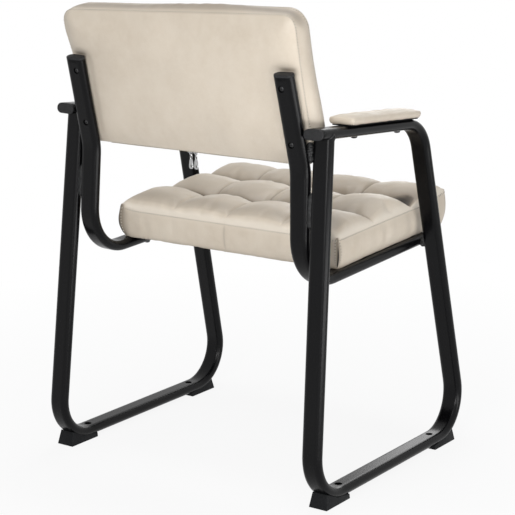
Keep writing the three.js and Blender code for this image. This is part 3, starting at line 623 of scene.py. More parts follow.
def make(name, points, faces, home=None, sharp_angle=None):
    """A mesh object whose points are given in one of the local frames."""
    mesh = bpy.data.meshes.new(name)
    points = placed(points, home or Matrix())
    mesh.from_pydata(points.tolist(), [], [list(map(int, face)) for face in faces])
    mesh.update()
    mesh.shade_smooth()
    if sharp_angle is not None:
        mesh.set_sharp_from_angle(angle=math.radians(sharp_angle))
    return shown(name, mesh)


def dress(piece, slot, body="chair", replaces=(), material=None):
    piece.data.materials.clear()
    piece.data.materials.append(material or MATERIALS[slot])
    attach(piece, body)
    if replaces:
        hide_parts(*replaces)


def baked(piece):
    """The piece's modifiers go into its mesh."""
    graph = bpy.context.evaluated_depsgraph_get()
    mesh = bpy.data.meshes.new_from_object(piece.evaluated_get(graph))
    piece.modifiers.clear()
    old = piece.data
    piece.data = mesh
    mesh.name = old.name
    bpy.data.meshes.remove(old)


def cut(piece, cutters, sharp_angle=CUT_ANGLE):
    for cutter in cutters:
        step = piece.modifiers.new("cut", "BOOLEAN")
        step.operation = "DIFFERENCE"
        step.solver = "EXACT"
        step.object = cutter
    baked(piece)
    for cutter in cutters:
        bpy.data.objects.remove(cutter)
    piece.data.shade_smooth()
    piece.data.set_sharp_from_angle(angle=math.radians(sharp_angle))


def join(name, pieces):
    """Several pieces as one object."""
    mesh = bmesh.new()
    for piece in pieces:
        mesh.from_mesh(piece.data)
        bpy.data.objects.remove(piece)
    data = bpy.data.meshes.new(name)
    mesh.to_mesh(data)
    mesh.free()
    data.set_sharp_from_angle(angle=math.radians(CUT_ANGLE))
    return shown(name, data)


def recalculate(piece):
    mesh = bmesh.new()
    mesh.from_mesh(piece.data)
    bmesh.ops.recalc_face_normals(mesh, faces=mesh.faces)
    mesh.to_mesh(piece.data)
    mesh.free()


def loft(rings, looped=False):
    """Points and faces of a skin over rings of equally many points, closed by caps or by its first ring."""
    count = len(rings[0])
    points = np.concatenate(rings)
    faces = []
    for i in range(len(rings) - (not looped)):
        low, high = i * count, (i + 1) % len(rings) * count
        for j in range(count):
            k = (j + 1) % count
            faces.append((low + j, low + k, high + k, high + j))
    if not looped:
        faces.append(tuple(range(count))[::-1])
        faces.append(tuple((len(rings) - 1) * count + j for j in range(count)))
    return points, faces


def merged(parts):
    """Points and faces of several parts as one."""
    points, faces = [], []
    for part_points, part_faces in parts:
        faces += [[len(points) + n for n in face] for face in part_faces]
        points += list(part_points)
    return points, faces


def circle(radius, count):
    angles = np.linspace(0, 2 * math.pi, count, endpoint=False)
    return radius * np.stack([np.cos(angles), np.sin(angles)], 1)


def lifted(outline, height):
    return np.column_stack([outline, np.full(len(outline), height)])


def upended(outline, depth):
    """A flat outline in X and Z, at one Y."""
    return np.stack([outline[:, 0], np.full(len(outline), depth), outline[:, 1]], 1)


def lathe(profile):
    """Points and faces turned about Z, closed at both ends."""
    return loft([lifted(circle(radius, ROUND_STEPS), z) for radius, z in profile])


def oval(width, thickness, steps=OVAL_STEPS):
    """Flat-oval outline, wide along its first axis, with close points at the ends of its flats."""
    radius = thickness / 2
    reach = width / 2 - radius
    angles = np.linspace(-math.pi / 2, math.pi / 2, steps + 1)
    arc = np.stack([reach + radius * np.cos(angles), radius * np.sin(angles)], 1)
    near = 0.9 * reach
    top = np.array([[near, radius], [-near, radius]])
    return np.concatenate([arc, top, -arc, -top])


def bent_line(corners, radii, steps):
    """Points and directions, in the plane of one side, of straights joined by round bends."""
    ways = [(b - a) / np.linalg.norm(b - a) for a, b in zip(corners, corners[1:])]
    line = [(corners[0], ways[0])]
    for corner, into, out, radius, count in zip(corners[1:-1], ways, ways[1:], radii, steps):
        turn = math.atan2(into[0] * out[1] - into[1] * out[0], into @ out)
        start = corner - into * radius * math.tan(abs(turn) / 2)
        centre = start + np.array([-into[1], into[0]]) * math.copysign(radius, turn)
        for k in range(count + 1):
            angle = turn * k / count
            spin = np.array([[math.cos(angle), -math.sin(angle)], [math.sin(angle), math.cos(angle)]])
            line.append((centre + spin @ (start - centre), spin @ into))
    line.append((corners[-1], ways[-1]))
    return line


def stout(line):
    """The line with extra points along its long straights."""
    out = [line[0]]
    for (a, way), (b, next_way) in zip(line, line[1:]):
        span = np.linalg.norm(b - a)
        if span > LONG_STRAIGHT:
            shares = np.linspace(0, 1, round(span / STRAIGHT_STEP) + 1)[1:-1]
            near = STRAIGHT_END / span
            out += [(a + (b - a) * share, way) for share in [near, *shares, 1 - near]]
        out.append((b, next_way))
    return out


def kink_widening(point):
    """Bending has spread the rail a little at its kink."""
    return 1 + KINK_SPREAD_SHARE * bell(point[1], kink[1], KINK_SPREAD_REACH)


def tube_rings(line, outline, widening):
    """The outline at each point of the line, its first axis across the chair."""
    rings = []
    for point, way in line:
        wide = widening(point) if widening else 1.0
        across = wide * outline[:, :1] * np.array([[1.0, 0.0, 0.0]])
        through = outline[:, 1:] * np.array([[0.0, way[1], -way[0]]])
        rings.append(np.array([0.0, point[0], point[1]]) + across + through)
    return rings


def bell(value, centre, reach):
    """1 at the centre, and less on both sides of it."""
    return np.exp(-(((value - centre) / reach) ** 2))


def fading(distance, reach):
    return np.exp(-distance / reach)


def waves(points, length, seed, count=9):
    """Smooth waves with a fixed seed, for creases, ripples and lumps."""
    chance = np.random.default_rng(seed)
    total = np.zeros(len(points))
    for _ in range(count):
        way = chance.normal(size=points.shape[1])
        way *= 2 * math.pi / (length * np.linalg.norm(way)) * chance.uniform(0.6, 1.5)
        total += np.sin(points @ way + chance.uniform(0, 2 * math.pi))
    return total / math.sqrt(count)


def rippled(points, surface):
    height, length, seed = WAVES[surface]
    return height * waves(points, length, seed)


# Places of the fasteners
glide_screw_y = GLIDE_OUTER_Y - GLIDE_LENGTH + GLIDE_SCREW_INSET
back_screw_places = {"low": BACK_SCREW_LOW, "high": BACK_SCREW_LOW + BACK_SCREW_PITCH}
screw_homes = {}
for side, sign in SIDES.items():
    for end, towards in ENDS.items():
        place = shifted(0, towards * glide_screw_y, RUNNER_AXIS_HEIGHT)
        screw_homes["glide", end, side] = sleds[side] @ place
        place = shifted(0, towards * PAD_SCREW_PITCH / 2, 0) @ turned(math.pi, "X")
        screw_homes["arm", end, side] = arms[side] @ place
    for end, distance in back_screw_places.items():
        at = kink + post_direction * distance
        place = shifted(-sign * BACK_SCREW_INSET, *at) @ turned(-math.pi / 2 - POST_LEAN, "X")
        screw_homes["back", end, side] = rails[side] @ place


# Tubes
tube_outline = oval(TUBE_WIDTH, TUBE_THICKNESS)
sled_line = bent_line(
    [arm_rear, arm_front, front_foot, rear_foot, leg_under_arm],
    [ARM_BEND_RADIUS, FLOOR_BEND_RADIUS, FLOOR_BEND_RADIUS],
    [BEND_STEPS] * 3,
)
rail_line = bent_line(
    [post_top, kink, rail_corner, rail_front],
    [KINK_RADIUS, RAIL_BEND_RADIUS],
    [KINK_STEPS, BEND_STEPS],
)


def tube(name, line, home, widening, hole, hole_homes, node):
    made = make(name, *loft(tube_rings(stout(line), tube_outline, widening)), home)
    cut(made, [make("hole", *lathe(hole), hole_home) for hole_home in hole_homes])
    dress(made, "frame_coat", replaces=[node])


glide_hole = [(GLIDE_ACCESS_RADIUS, z) for z in (-TUBE_THICKNESS / 3, TUBE_THICKNESS)]
post_hole = [(POST_ACCESS_RADIUS, z) for z in (BACK_SCREW_BEARING, TUBE_THICKNESS)]
for side in SIDES:
    homes = [screw_homes["glide", end, side] for end in ENDS]
    tube(f"sled_{side}", sled_line, sleds[side], None, glide_hole, homes, f"sled_tube_{side}")
    homes = [screw_homes["back", end, side] for end in back_screw_places]
    tube(f"rail_{side}", rail_line, rails[side], kink_widening, post_hole, homes, f"seat_back_rail_{side}")


# Plugs with a rounded, slightly domed head
def plug(name, home, at, outward, node):
    steps = [(0, -PLUG_ROOT), (0, PLUG_HEAD - PLUG_EDGE)]
    for k in range(1, 5):
        angle = k / 4 * math.pi / 2
        steps.append((PLUG_EDGE * (1 - math.cos(angle)), PLUG_HEAD - PLUG_EDGE * (1 - math.sin(angle))))
    rings = [lifted(oval(TUBE_WIDTH - 2 * inset, TUBE_THICKNESS - 2 * inset), z) for inset, z in steps]
    for share in PLUG_DOME_SHARES:
        rings.append(lifted(tube_outline * share, PLUG_HEAD + PLUG_DOME * (1 - share**2)))
    made = make(name, *loft(rings), home @ shifted(0, *at) @ along(outward), MOULDED_ANGLE)
    dress(made, "plug_plastic", replaces=[node])


for side in SIDES:
    plug(f"arm_plug_{side}", sleds[side], arm_rear, arm_direction, f"arm_end_plug_{side}")
    plug(f"post_plug_{side}", rails[side], post_top, post_direction, f"post_top_plug_{side}")
    plug(f"rail_plug_{side}", rails[side], rail_front, -rail_direction, f"rail_front_plug_{side}")


# Glides: wedges with a flared foot and rounded edges
def glide(name, centre_x, towards, node):
    outline = [
        (0, 0),
        (GLIDE_LENGTH, 0),
        (GLIDE_LENGTH - GLIDE_END_SLOPE, GLIDE_END_HEIGHT),
        (GLIDE_LENGTH / 2, GLIDE_THIN_HEIGHT + TUBE_THICKNESS / 4),
        (0, GLIDE_THIN_HEIGHT),
    ]
    rings = []
    for sign in (-1, 1):
        ring = []
        for distance, height in outline:
            flare = (GLIDE_TOP_WIDTH - GLIDE_BASE_WIDTH) * height / GLIDE_END_HEIGHT
            across = sign * (GLIDE_BASE_WIDTH + flare) / 2
            y = towards * (GLIDE_OUTER_Y - GLIDE_LENGTH + distance) + BODY_CENTRE_Y
            ring.append((centre_x + across * towards, y, height))
        rings.append(ring)
    made = make(name, *loft(rings), None, MOULDED_ANGLE)
    bevel = made.modifiers.new("edge", "BEVEL")
    bevel.width = GLIDE_EDGE
    bevel.segments = 3
    bevel.limit_method = "ANGLE"
    baked(made)
    recalculate(made)
    made.data.set_sharp_from_angle(angle=math.radians(MOULDED_ANGLE))
    dress(made, "glide_plastic", replaces=[node])


for side, sign in SIDES.items():
    for end, towards in ENDS.items():
        glide(f"wedge_{end}_{side}", sign * SLED_SPACING / 2, towards, f"glide_{end}_{side}")


# Weld beads: rippled along their length and lumpy
def bead(name, home, centre, way, length, radius, seed):
    rings = []
    for k in range(BEAD_STEPS + 1):
        share = k / BEAD_STEPS
        ends = math.sqrt(max(0.0, 1 - abs(2 * share - 1) ** 6))
        ripple = 1 + BEAD_RIPPLE_SHARE * math.sin(share * length / BEAD_RIPPLE_LENGTH * 2 * math.pi)
        size = radius * max(ends * ripple, 0.02)
        rings.append(lifted(circle(size, BEAD_SIDES), (share - 1 / 2) * length))
    points, faces = loft(rings)
    points[:, :2] *= 1 + BEAD_LUMP_SHARE * waves(points, BEAD_LUMP_LENGTH, seed)[:, None]
    return make(name, points, faces, home @ shifted(*centre) @ along(way))


weld_height = kink[1] + KINK_WELD_RISE
kink_gap = at_height(kink, post_direction, weld_height) + at_height(rear_foot, rear_leg, weld_height)
beads = {
    "rear": (rear_cross, rear_leg, REAR_WELD_LENGTH, REAR_WELD_RADIUS, 3),
    "kink": (kink_gap / 2, (post_direction + rear_leg) / 2, KINK_WELD_LENGTH, KINK_WELD_RADIUS, 7),
    "front": (front_cross, rail_direction, 2 * FRONT_WELD_RADIUS, FRONT_WELD_RADIUS, 5),
}
for side, sign in SIDES.items():
    for place, (middle, *rest) in beads.items():
        weld = bead(f"{place}_bead_{side}", sleds[side], (-sign * RAIL_INSET / 2, *middle), *rest)
        nodes = [] if place == "kink" else [f"{place}_weld_{side}"]
        dress(weld, "frame_coat", replaces=nodes, material=WELD)


def ring_bead(name, home, outline, heights, seed):
    """A bead that follows a closed outline at the given heights."""
    outward = outline - outline.mean(0)
    outward /= np.linalg.norm(outward, axis=1, keepdims=True)
    rings = []
    for k, (place, way, height) in enumerate(zip(outline, outward, heights)):
        profile = circle(ARM_BEAD_RADIUS * (1 + ARM_BEAD_RIPPLE_SHARE * math.sin(2.1 * k)), 10)
        rings.append(np.column_stack([place + profile[:, :1] * way, height + profile[:, 1]]))
    points, faces = loft(rings, looped=True)
    points += ARM_BEAD_LUMP * waves(points, ARM_BEAD_LUMP_LENGTH, seed)[:, None]
    made = make(name, points, faces, home)
    recalculate(made)
    return made


# The bead where the rear leg meets the arm tube's underside
leg_outline = oval(TUBE_WIDTH, TUBE_THICKNESS, 10)
over_end = np.maximum(0, np.abs(leg_outline[:, 0]) - (TUBE_WIDTH - TUBE_THICKNESS) / 2)
drop = np.sqrt(np.maximum(0, (TUBE_THICKNESS / 2) ** 2 - over_end**2))
bead_heights = leg_outline[:, 1] * math.tan(ARM_FALL + REAR_LEG_LEAN) - drop - ARM_BEAD_RADIUS / 2
for side in SIDES:
    home = sleds[side] @ shifted(0, *leg_under_arm) @ turned(REAR_LEG_LEAN, "X")
    weld = ring_bead(f"arm_bead_{side}", home, leg_outline, bead_heights, 11)
    dress(weld, "frame_coat", material=WELD)


# Screws with a cross recess
def screw(name, home, head_radius, head_height, bearing, shank_radius, shank_end, node):
    profile = [(shank_radius, shank_end), (shank_radius, bearing), (head_radius, bearing)]
    for k in range(7):
        angle = k / 6 * math.pi / 2
        radius = head_radius * (1 - SCREW_DOME_SHARE * (1 - math.cos(angle)))
        rise = SCREW_RIM_SHARE + (1 - SCREW_RIM_SHARE) * math.sin(angle)
        profile.append((radius, bearing + head_height * rise))
    head = make(name, *lathe(profile), home, SCREW_ANGLE)
    bar = SQUARE * head_radius * CROSS_SHARES
    heights = bearing + CROSS_DEPTH_SHARE * head_height, bearing + 2 * head_height
    rings = [lifted(bar * grow, z) for grow, z in zip(CROSS_FLARE_SHARES, heights)]
    bars = [make("cross", *loft(rings), home @ turned(turn, "Z")) for turn in (0, math.pi / 2)]
    cut(head, bars, MOULDED_ANGLE)
    dress(head, "black_steel", replaces=[node])


for (kind, end, side), home in screw_homes.items():
    if kind in SCREWS:
        name, *sizes = SCREWS[kind]
        screw(f"{name}_{end}_{side}", home, *sizes, f"{kind}_screw_{end}_{side}")


# Cushions: a box shell whose points are moved to the sewn form
def stations(shares, length, step, near):
    """Places from 0 to 1 with close ones beside each seam."""
    places, start = [0.0], 0.0
    for share in shares:
        span = share * length
        inner = np.linspace(0, 1, max(2, round(span / step)) + 1)[1:-1] * span
        reach = max(near, default=0) + step / 2
        values = near + [v for v in inner if reach < v < span - reach] + [span - n for n in near]
        places += [start + v / length for v in sorted(values)] + [start + share]
        start += share
    return np.array(places) / places[-1]


def box_shell(us, vs, ws):
    """Grid places (u, v, w) and outward faces of a closed box shell."""
    nu, nv, nw = len(us) - 1, len(vs) - 1, len(ws) - 1
    index, places, faces = {}, [], []
    for i in range(nu + 1):
        for j in range(nv + 1):
            edge = i in (0, nu) or j in (0, nv)
            for k in range(nw + 1) if edge else (0, nw):
                index[i, j, k] = len(places)
                places.append((us[i], vs[j], ws[k]))

    def quad(corners, turned_over):
        ring = [index[corner] for corner in corners]
        faces.append(ring[:1] + ring[:0:-1] if turned_over else ring)

    for i in range(nu):
        for j in range(nv):
            for k in (0, nw):
                quad([(i, j, k), (i + 1, j, k), (i + 1, j + 1, k), (i, j + 1, k)], k == 0)
    for k in range(nw):
        for i in range(nu):
            for j in (0, nv):
                quad([(i, j, k), (i + 1, j, k), (i + 1, j, k + 1), (i, j, k + 1)], j == nv)
        for j in range(nv):
            for i in (0, nu):
                quad([(i, j, k), (i, j + 1, k), (i, j + 1, k + 1), (i, j, k + 1)], i == 0)
    return np.array(places), faces


def within_cells(values, shares):
    """How far each place from 0 to 1 is through its cell."""
    marks = np.concatenate([[0.0], np.cumsum(shares)])
    marks /= marks[-1]
    cell = np.clip(np.searchsorted(marks, values + TINY) - 1, 0, len(shares) - 1)
    return np.clip((values - marks[cell]) / (marks[cell + 1] - marks[cell]), 0, 1)


def off_marks(values, shares):
    """How far each place from 0 to 1 is from the nearest seam between two cells, less than 0 before it."""
    marks = np.cumsum(shares)[:-1] / np.sum(shares)
    gaps = values[:, None] - marks[None, :]
    return gaps[np.arange(len(values)), np.argmin(np.abs(gaps), axis=1)]


def rounded(x, y, half_x, half_y, radius):
    """Points of a rectangle moved so that its corners are round, and the outward way at each."""
    cx = np.abs(x) - (half_x - radius)
    cy = np.abs(y) - (half_y - radius)
    corner = (cx > 0) & (cy > 0)
    far = np.hypot(cx, cy) + 1e-12
    scale = np.where(corner, np.maximum(cx, cy) / far, 1.0)
    new_x = np.where(corner, half_x - radius + cx * scale, np.abs(x)) * np.sign(x)
    new_y = np.where(corner, half_y - radius + cy * scale, np.abs(y)) * np.sign(y)
    on_x = np.abs(np.abs(x) - half_x) < TINY
    out_x = np.where(corner, cx / far, np.where(on_x, 1.0, 0.0)) * np.sign(x)
    out_y = np.where(corner, cy / far, np.where(on_x, 0.0, 1.0)) * np.sign(y)
    return new_x, new_y, out_x, out_y


def laid_out(places, width, depth, draw_in, radius):
    """A cushion's places from -1 to 1, its plan, the outward ways there, its border and its edges."""
    u, v, w = 2 * places[:, 0] - 1, 2 * places[:, 1] - 1, places[:, 2]
    half_x = width / 2 - draw_in * (1 - v * v)
    x, y, out_x, out_y = rounded(u * half_x, v * depth / 2, half_x, depth / 2, radius)
    border = (np.abs(u) > 1 - TINY) | (np.abs(v) > 1 - TINY)
    edge_u = np.minimum(places[:, 0], 1 - places[:, 0]) * width
    edge_v = np.minimum(places[:, 1], 1 - places[:, 1]) * depth
    return u, v, w, x, y, out_x, out_y, border, edge_u, edge_v


def tufting(edge_u, edge_v, in_u, in_v, across=0.5, crown=0.5):
    """Pillow height share: 0 at the sewn nodes, less than 1 along the seams and 1 in the pillows."""
    pillow_u = np.sin(math.pi * in_u).clip(0) ** crown
    pillow_v = np.sqrt(np.sin(math.pi * in_v).clip(0))
    ramp_u = 1 - fading(edge_u, TUFT_RAMP)
    ramp_v = 1 - fading(edge_v, TUFT_RAMP)
    return across * pillow_u * ramp_v + (1 - across) * pillow_v * ramp_u


def off_seam(inside, shares, length):
    return np.minimum(inside, 1 - inside) * length / len(shares)


def with_recess(w, edge_u, edge_v, margin, recess, under, over):
    """Heights of a cushion: its form, and under it a rim round the recess for the board."""
    inner = (edge_u > margin) & (edge_v > margin)
    return np.where(w < TINY, np.where(inner, recess, under), over)


def seat_form(places):
    sizes = (SEAT_WIDTH, SEAT_DEPTH, SEAT_DRAW_IN, SEAT_CORNER)
    u, v, w, x, y, out_x, out_y, border, edge_u, edge_v = laid_out(places, *sizes)
    run = np.stack([x, y], 1)
    swell = np.sin(math.pi * w)
    bulge = np.abs(out_x) * SEAT_SIDE_BULGE + np.abs(out_y) * SEAT_END_BULGE
    bulge = bulge + SEAT_LEFT_BULGE * np.clip(out_x, 0, 1) * bell(v, 0.55, 0.5)
    squared = bell(u, -1, 0.2) * bell(v, -1, 0.2) + 0.6 * bell(u, 1, 0.2) * bell(v, 1, 0.2)
    from_corner = np.hypot(edge_u, edge_v)
    corner_tuck = SEAT_CORNER_TUCK * bell(from_corner, 0, SEAT_CORNER_TUCK_REACH)
    tuck = SEAT_UNDER_TUCK * (1 - w) ** 2 + corner_tuck * (1 - w) ** 5
    pucker = rippled(run, "seat_boxing") * (0.3 + swell) * np.minimum(1, 4 * w)
    grow = (bulge * swell - tuck + pucker + SEAT_SQUARING * squared * (1 - 0.8 * swell)) * border

    in_u = within_cells(places[:, 0], SEAT_COLUMN_SHARES)
    in_v = within_cells(places[:, 1], SEAT_ROW_SHARES)
    near_u = off_seam(in_u, SEAT_COLUMN_SHARES, SEAT_WIDTH)
    near_v = off_seam(in_v, SEAT_ROW_SHARES, SEAT_DEPTH)
    node_u = off_marks(places[:, 0], SEAT_COLUMN_SHARES) * SEAT_WIDTH
    node_v = off_marks(places[:, 1], SEAT_ROW_SHARES) * SEAT_DEPTH
    node_far = (np.abs(node_u) + SEAT_NODE_TIP) ** 2 + node_v**2
    node = np.exp(-((node_far / SEAT_NODE_REACH**2) ** 0.7))
    dome = (1 - u**8) * (1 - v**8)
    groove = np.maximum(0.6 * fading(near_u, SEAT_COLUMN_GROOVE_REACH), fading(near_v, SEAT_ROW_GROOVE_REACH))
    top = SEAT_BOXING + SEAT_DOME * dome + SEAT_TUFT * tufting(edge_u, edge_v, in_u, in_v, 0.28, 0.85)
    top -= (SEAT_GROOVE * groove + SEAT_NODE * node) * dome
    right_end = np.clip((-u - 0.5) / 0.4, 0, 1)
    past = (SEAT_FRONT_SEAM_SHARE - places[:, 1]) * SEAT_DEPTH - SEAT_FOLD_SHIFT * right_end
    fold = bell(past, 0, SEAT_FOLD_REACH + SEAT_FOLD_SPREAD * right_end) * (0.4 + 1.4 * right_end)
    top -= SEAT_FOLD * fold * (1 - fading(edge_u, SEAT_FOLD_END)) * (1 - u**20)
    top += (rippled(run, "seat_top") + rippled(run, "seat_fine")) * dome
    top += SEAT_FRONT_RIGHT_RISE * bell(u, -1, 0.12) * bell(v, -1, 0.2)
    top += SEAT_REAR_LEFT_RISE * bell(u, 1, 0.1) * bell(v, 1, 0.16)
    under = np.abs(rippled(run, "seat_under"))
    z = with_recess(w, edge_u, edge_v, SEAT_RECESS_MARGIN, SEAT_RECESS, under, top * w)
    points = np.stack([x + out_x * grow, y + out_y * grow - SEAT_DEPTH / 2, z + SEAT_REST], 1)

    # Painted shade in the seams and in the valleys along the row seams
    on_top = w > 1 - TINY
    behind = np.where(node_v < 0, SEAT_VALLEY_BEHIND, SEAT_VALLEY_BEFORE)
    valley = (0.65 + 0.35 * node) * fading(np.abs(node_v), behind)
    seam = np.minimum(1, 0.45 * fading(np.minimum(near_u, near_v), SEAT_SEAM_REACH) + valley) * dome
    # Painted shadow in the deep fold at the right end of the front seam
    gap = 1.3 * right_end * bell(past, 0, np.where(past > 0, SEAT_GAP_AHEAD, SEAT_GAP_BEHIND))
    gap = np.minimum(1, gap) * (1 - u**40)
    # Painted shade on the pillows' slopes near the rear edge
    slope = SEAT_SLOPE_SHADE_SHARE * bell(edge_v, SEAT_SLOPE_PLACE, SEAT_SLOPE_REACH) * (v > 0) * (1 - u**20)
    # Painted shade along the hem where the boxing turns under, along the upright seam at the rear, and at the
    # corners, reaching furthest at the rear left
    hem = 0.7 * fading(w * SEAT_BOXING, SEAT_HEM_REACH) * border
    upright_seam = 0.36 * fading(np.abs(x), SEAT_SEAM_REACH) * (v > 1 - TINY) * np.clip(6 * w, 0, 1)
    reach = np.where((u > 0) & (v > 0), SEAT_LEFT_CORNER_REACH, SEAT_CORNER_REACH)
    corner = 0.85 * bell(from_corner, 0, reach) * border
    painted_light = np.max([seam * on_top, gap * on_top, slope * on_top, hem, upright_seam, corner], axis=0)
    # Painted highlight along the top edge of the boxing, given as values below 0
    edge_highlight = bell((1 - w) * SEAT_BOXING + np.minimum(edge_u, edge_v), 0, SEAT_EDGE_HIGHLIGHT_REACH)
    return points, np.where(painted_light < 0.4, painted_light - edge_highlight, painted_light)


def crest_rise(x):
    grid = np.linspace(-BACK_WIDTH / 2, BACK_WIDTH / 2, 101)
    kernel = np.hanning(17)
    rise = np.pad(np.interp(grid, CREST_PLACES, CREST_RISES), 8, "edge")
    return np.interp(x, grid, np.convolve(rise, kernel / kernel.sum(), "valid"))


def off_post(x, y):
    """How far each place of the rear panel is from a post's middle line, and how far above its top."""
    up = y + BACK_HEIGHT / 2 + BACK_BOTTOM
    post_x = SLED_SPACING / 2 - RAIL_INSET - (kink_height + up * math.cos(POST_LEAN)) * math.tan(SPLAY)
    return np.abs(x) - post_x, up - POST_LENGTH - PLUG_HEAD


def post_press(x, y):
    """How far the posts hold the rear panel flat, from 1 on them to 0 away from them."""
    across, above = off_post(x, y)
    away = np.hypot(np.maximum(0, np.abs(across) - TUBE_WIDTH / 2), np.maximum(0, above))
    held = np.clip(1 - away / POST_PRESS_REACH, 0, 1)
    return held**2 * (3 - 2 * held)


def post_dent(x, y):
    """The hollow that each post's top presses into the rear panel, from 1 at its middle to 0."""
    across, above = off_post(x, y)
    return np.exp(-((across / POST_DENT_ACROSS) ** 4)) * bell(above, -POST_DENT_DROP, POST_DENT_ABOVE)


def back_form(places):
    w = places[:, 2]
    radius = BACK_CORNER * (0.6 + 0.4 * w) + BACK_LOW_CORNER * w * (places[:, 1] < 1 / 2)
    sizes = (BACK_WIDTH, BACK_HEIGHT, BACK_DRAW_IN, radius)
    u, v, w, x, y, out_x, out_y, border, edge_u, edge_v = laid_out(places, *sizes)
    run = np.stack([x, y], 1)
    swell = np.sin(math.pi * w)
    crest = crest_rise(x) * np.clip(out_y, 0, 1) * np.sin(math.pi * np.clip(w, 0, 1) ** 1.35)
    low_right = np.clip(-out_x, 0, 1) * bell(v, -0.45, 0.55) * (swell + w)
    high_left = np.clip(out_x, 0, 1) * bell(v, 0.7, 0.25) * (swell + 1 - w)
    grow = (BACK_SIDE_BULGE + rippled(run, "back_boxing")) * swell + crest
    grow = (grow + BACK_SIDE_SLACK * (low_right + high_left)) * border

    in_u = within_cells(places[:, 0], BACK_COLUMN_SHARES)
    in_v = within_cells(places[:, 1], BACK_ROW_SHARES)
    dome = (1 - u**8) * (1 - v**8)
    front = BACK_THICKNESS + BACK_TUFT * tufting(edge_u, edge_v, in_u, in_v)
    front += (BACK_DOME + rippled(run, "back_front")) * dome
    y = y - BACK_TOP_SLOPE * x * ((v + 1) / 2) ** 1.5
    edge = np.minimum(edge_u, edge_v)
    free = (1 - post_press(x, y)) * (1 - fading(edge, BACK_REAR_BULGE_REACH))
    dent = post_dent(x, y)
    rear = BACK_REAR_ROLL * fading(edge, BACK_ROLL_REACH) + POST_DENT * dent
    rear -= (BACK_REAR_BULGE + rippled(run, "back_rear")) * free
    points = np.stack([x + out_x * grow, y + out_y * grow, rear + (front - rear) * w], 1)

    # Painted shade in the front seams, along the front and rear edges, over the top of the boxing and in the
    # dents above the posts
    near_u = off_seam(in_u, BACK_COLUMN_SHARES, BACK_WIDTH)
    near_v = off_seam(in_v, BACK_ROW_SHARES, BACK_HEIGHT)
    seam = fading(np.minimum(near_u, near_v), BACK_SEAM_REACH) * (w > 1 - TINY) * dome
    front_edge = 0.6 * fading((1 - w) * BACK_THICKNESS, BACK_EDGE_REACH) * border
    rear_edge = 0.2 * fading(w * BACK_THICKNESS, BACK_EDGE_REACH) * border
    top_shade = 0.75 * np.clip(out_y, 0, 1) * swell * border
    pressed = 0.95 * dent**2 * (w < TINY)
    return points, np.max([seam, front_edge, rear_edge, top_shade, pressed], axis=0)


def pad_form(places):
    sizes = (PAD_WIDTH, PAD_LENGTH, 0, PAD_CORNER)
    u, v, w, x, y, out_x, out_y, border, edge_u, edge_v = laid_out(places, *sizes)
    run = np.stack([x, y], 1)
    grow = PAD_BULGE * (np.sin(math.pi * w) - 1.2 * (1 - w) ** 2) + rippled(run, "pad_side")
    grow = grow * border
    dome = (1 - u**4) * (1 - v**10)
    top = PAD_HEIGHT + (PAD_CROWN + rippled(run, "pad_top")) * dome
    under = PAD_UNDER + rippled(run, "pad_under")
    z = with_recess(w, edge_u, edge_v, PAD_RECESS_MARGIN, PAD_RECESS, under, top * w)
    points = np.stack([x + out_x * grow, y + out_y * grow, z + PAD_BOTTOM], 1)
    # Painted shade along the lower hem
    return points, 0.8 * fading(w * PAD_HEIGHT, PAD_HEM_REACH) * border


def blown(points, faces, held, calm, spare, cap):
    """How far each point moves when the cover swells between the points that its seams hold."""
    made = make("cover", points, faces)
    for group, weights in (("held", held), ("calm", calm)):
        made.vertex_groups.new(name=group)
        for index in np.nonzero(weights > 0)[0]:
            made.vertex_groups[group].add([int(index)], float(weights[index]), "REPLACE")
    cloth = made.modifiers.new("cloth", "CLOTH")
    cloth.settings.quality = 5
    cloth.settings.bending_stiffness = CLOTH_BENDING
    cloth.settings.use_pressure = True
    cloth.settings.uniform_pressure_force = CLOTH_PRESSURE
    cloth.settings.effector_weights.gravity = 0
    cloth.settings.vertex_group_mass = "held"
    cloth.settings.vertex_group_shrink = "calm"
    cloth.settings.shrink_min = -spare
    cloth.settings.shrink_max = 0
    cloth.collision_settings.use_collision = False
    cloth.point_cache.frame_end = CLOTH_FRAMES
    for step in range(1, CLOTH_FRAMES + 1):
        bpy.context.scene.frame_set(step)
    graph = bpy.context.evaluated_depsgraph_get()
    swollen = made.evaluated_get(graph).data
    moved = np.zeros(3 * len(points), np.float32)
    swollen.vertices.foreach_get("co", moved)
    move = moved.reshape(-1, 3) - np.asarray(points)
    bpy.data.objects.remove(made)
    bpy.context.scene.frame_set(1)
    far = np.linalg.norm(move, axis=1, keepdims=True)
    return move * cap * np.tanh(far / cap) / np.maximum(far, TINY)


def spread(points, rest, move, reach):
    """The movement of the nearby rest points, blended, at each point."""
    tree = KDTree(len(rest))
    for index, place in enumerate(rest):
        tree.insert(place, index)
    tree.balance()
    out = np.zeros_like(points)
    for index, place in enumerate(points):
        near = tree.find_n(place, 7)
        weights = np.array([bell(far, 0, reach) for _, _, far in near]) + TINY
        out[index] = weights @ move[[n for _, n, _ in near]] / weights.sum()
    return out


def on_rim(u, v):
    return (np.minimum(u, 1 - u) < TINY) | (np.minimum(v, 1 - v) < TINY)


def on_marks(values, shares):
    """Where a place from 0 to 1 is on a seam between two cells."""
    return np.abs(off_marks(values, shares)) < 1e-6


def seat_holding(places):
    """The seams and the underside are held, and the boxing is calmer than the pillows."""
    u, v, w = places.T
    rim = on_rim(u, v)
    top = w > 1 - TINY
    seams = top & (rim | on_marks(v, SEAT_ROW_SHARES))
    held = np.where(seams | (w < 0.12), 1.0, np.where(top, 0.0, 0.6))
    held = np.where(top & on_marks(u, SEAT_COLUMN_SHARES), np.maximum(held, 0.5), held)
    return held, np.where(top & ~rim, 0.0, 0.97)


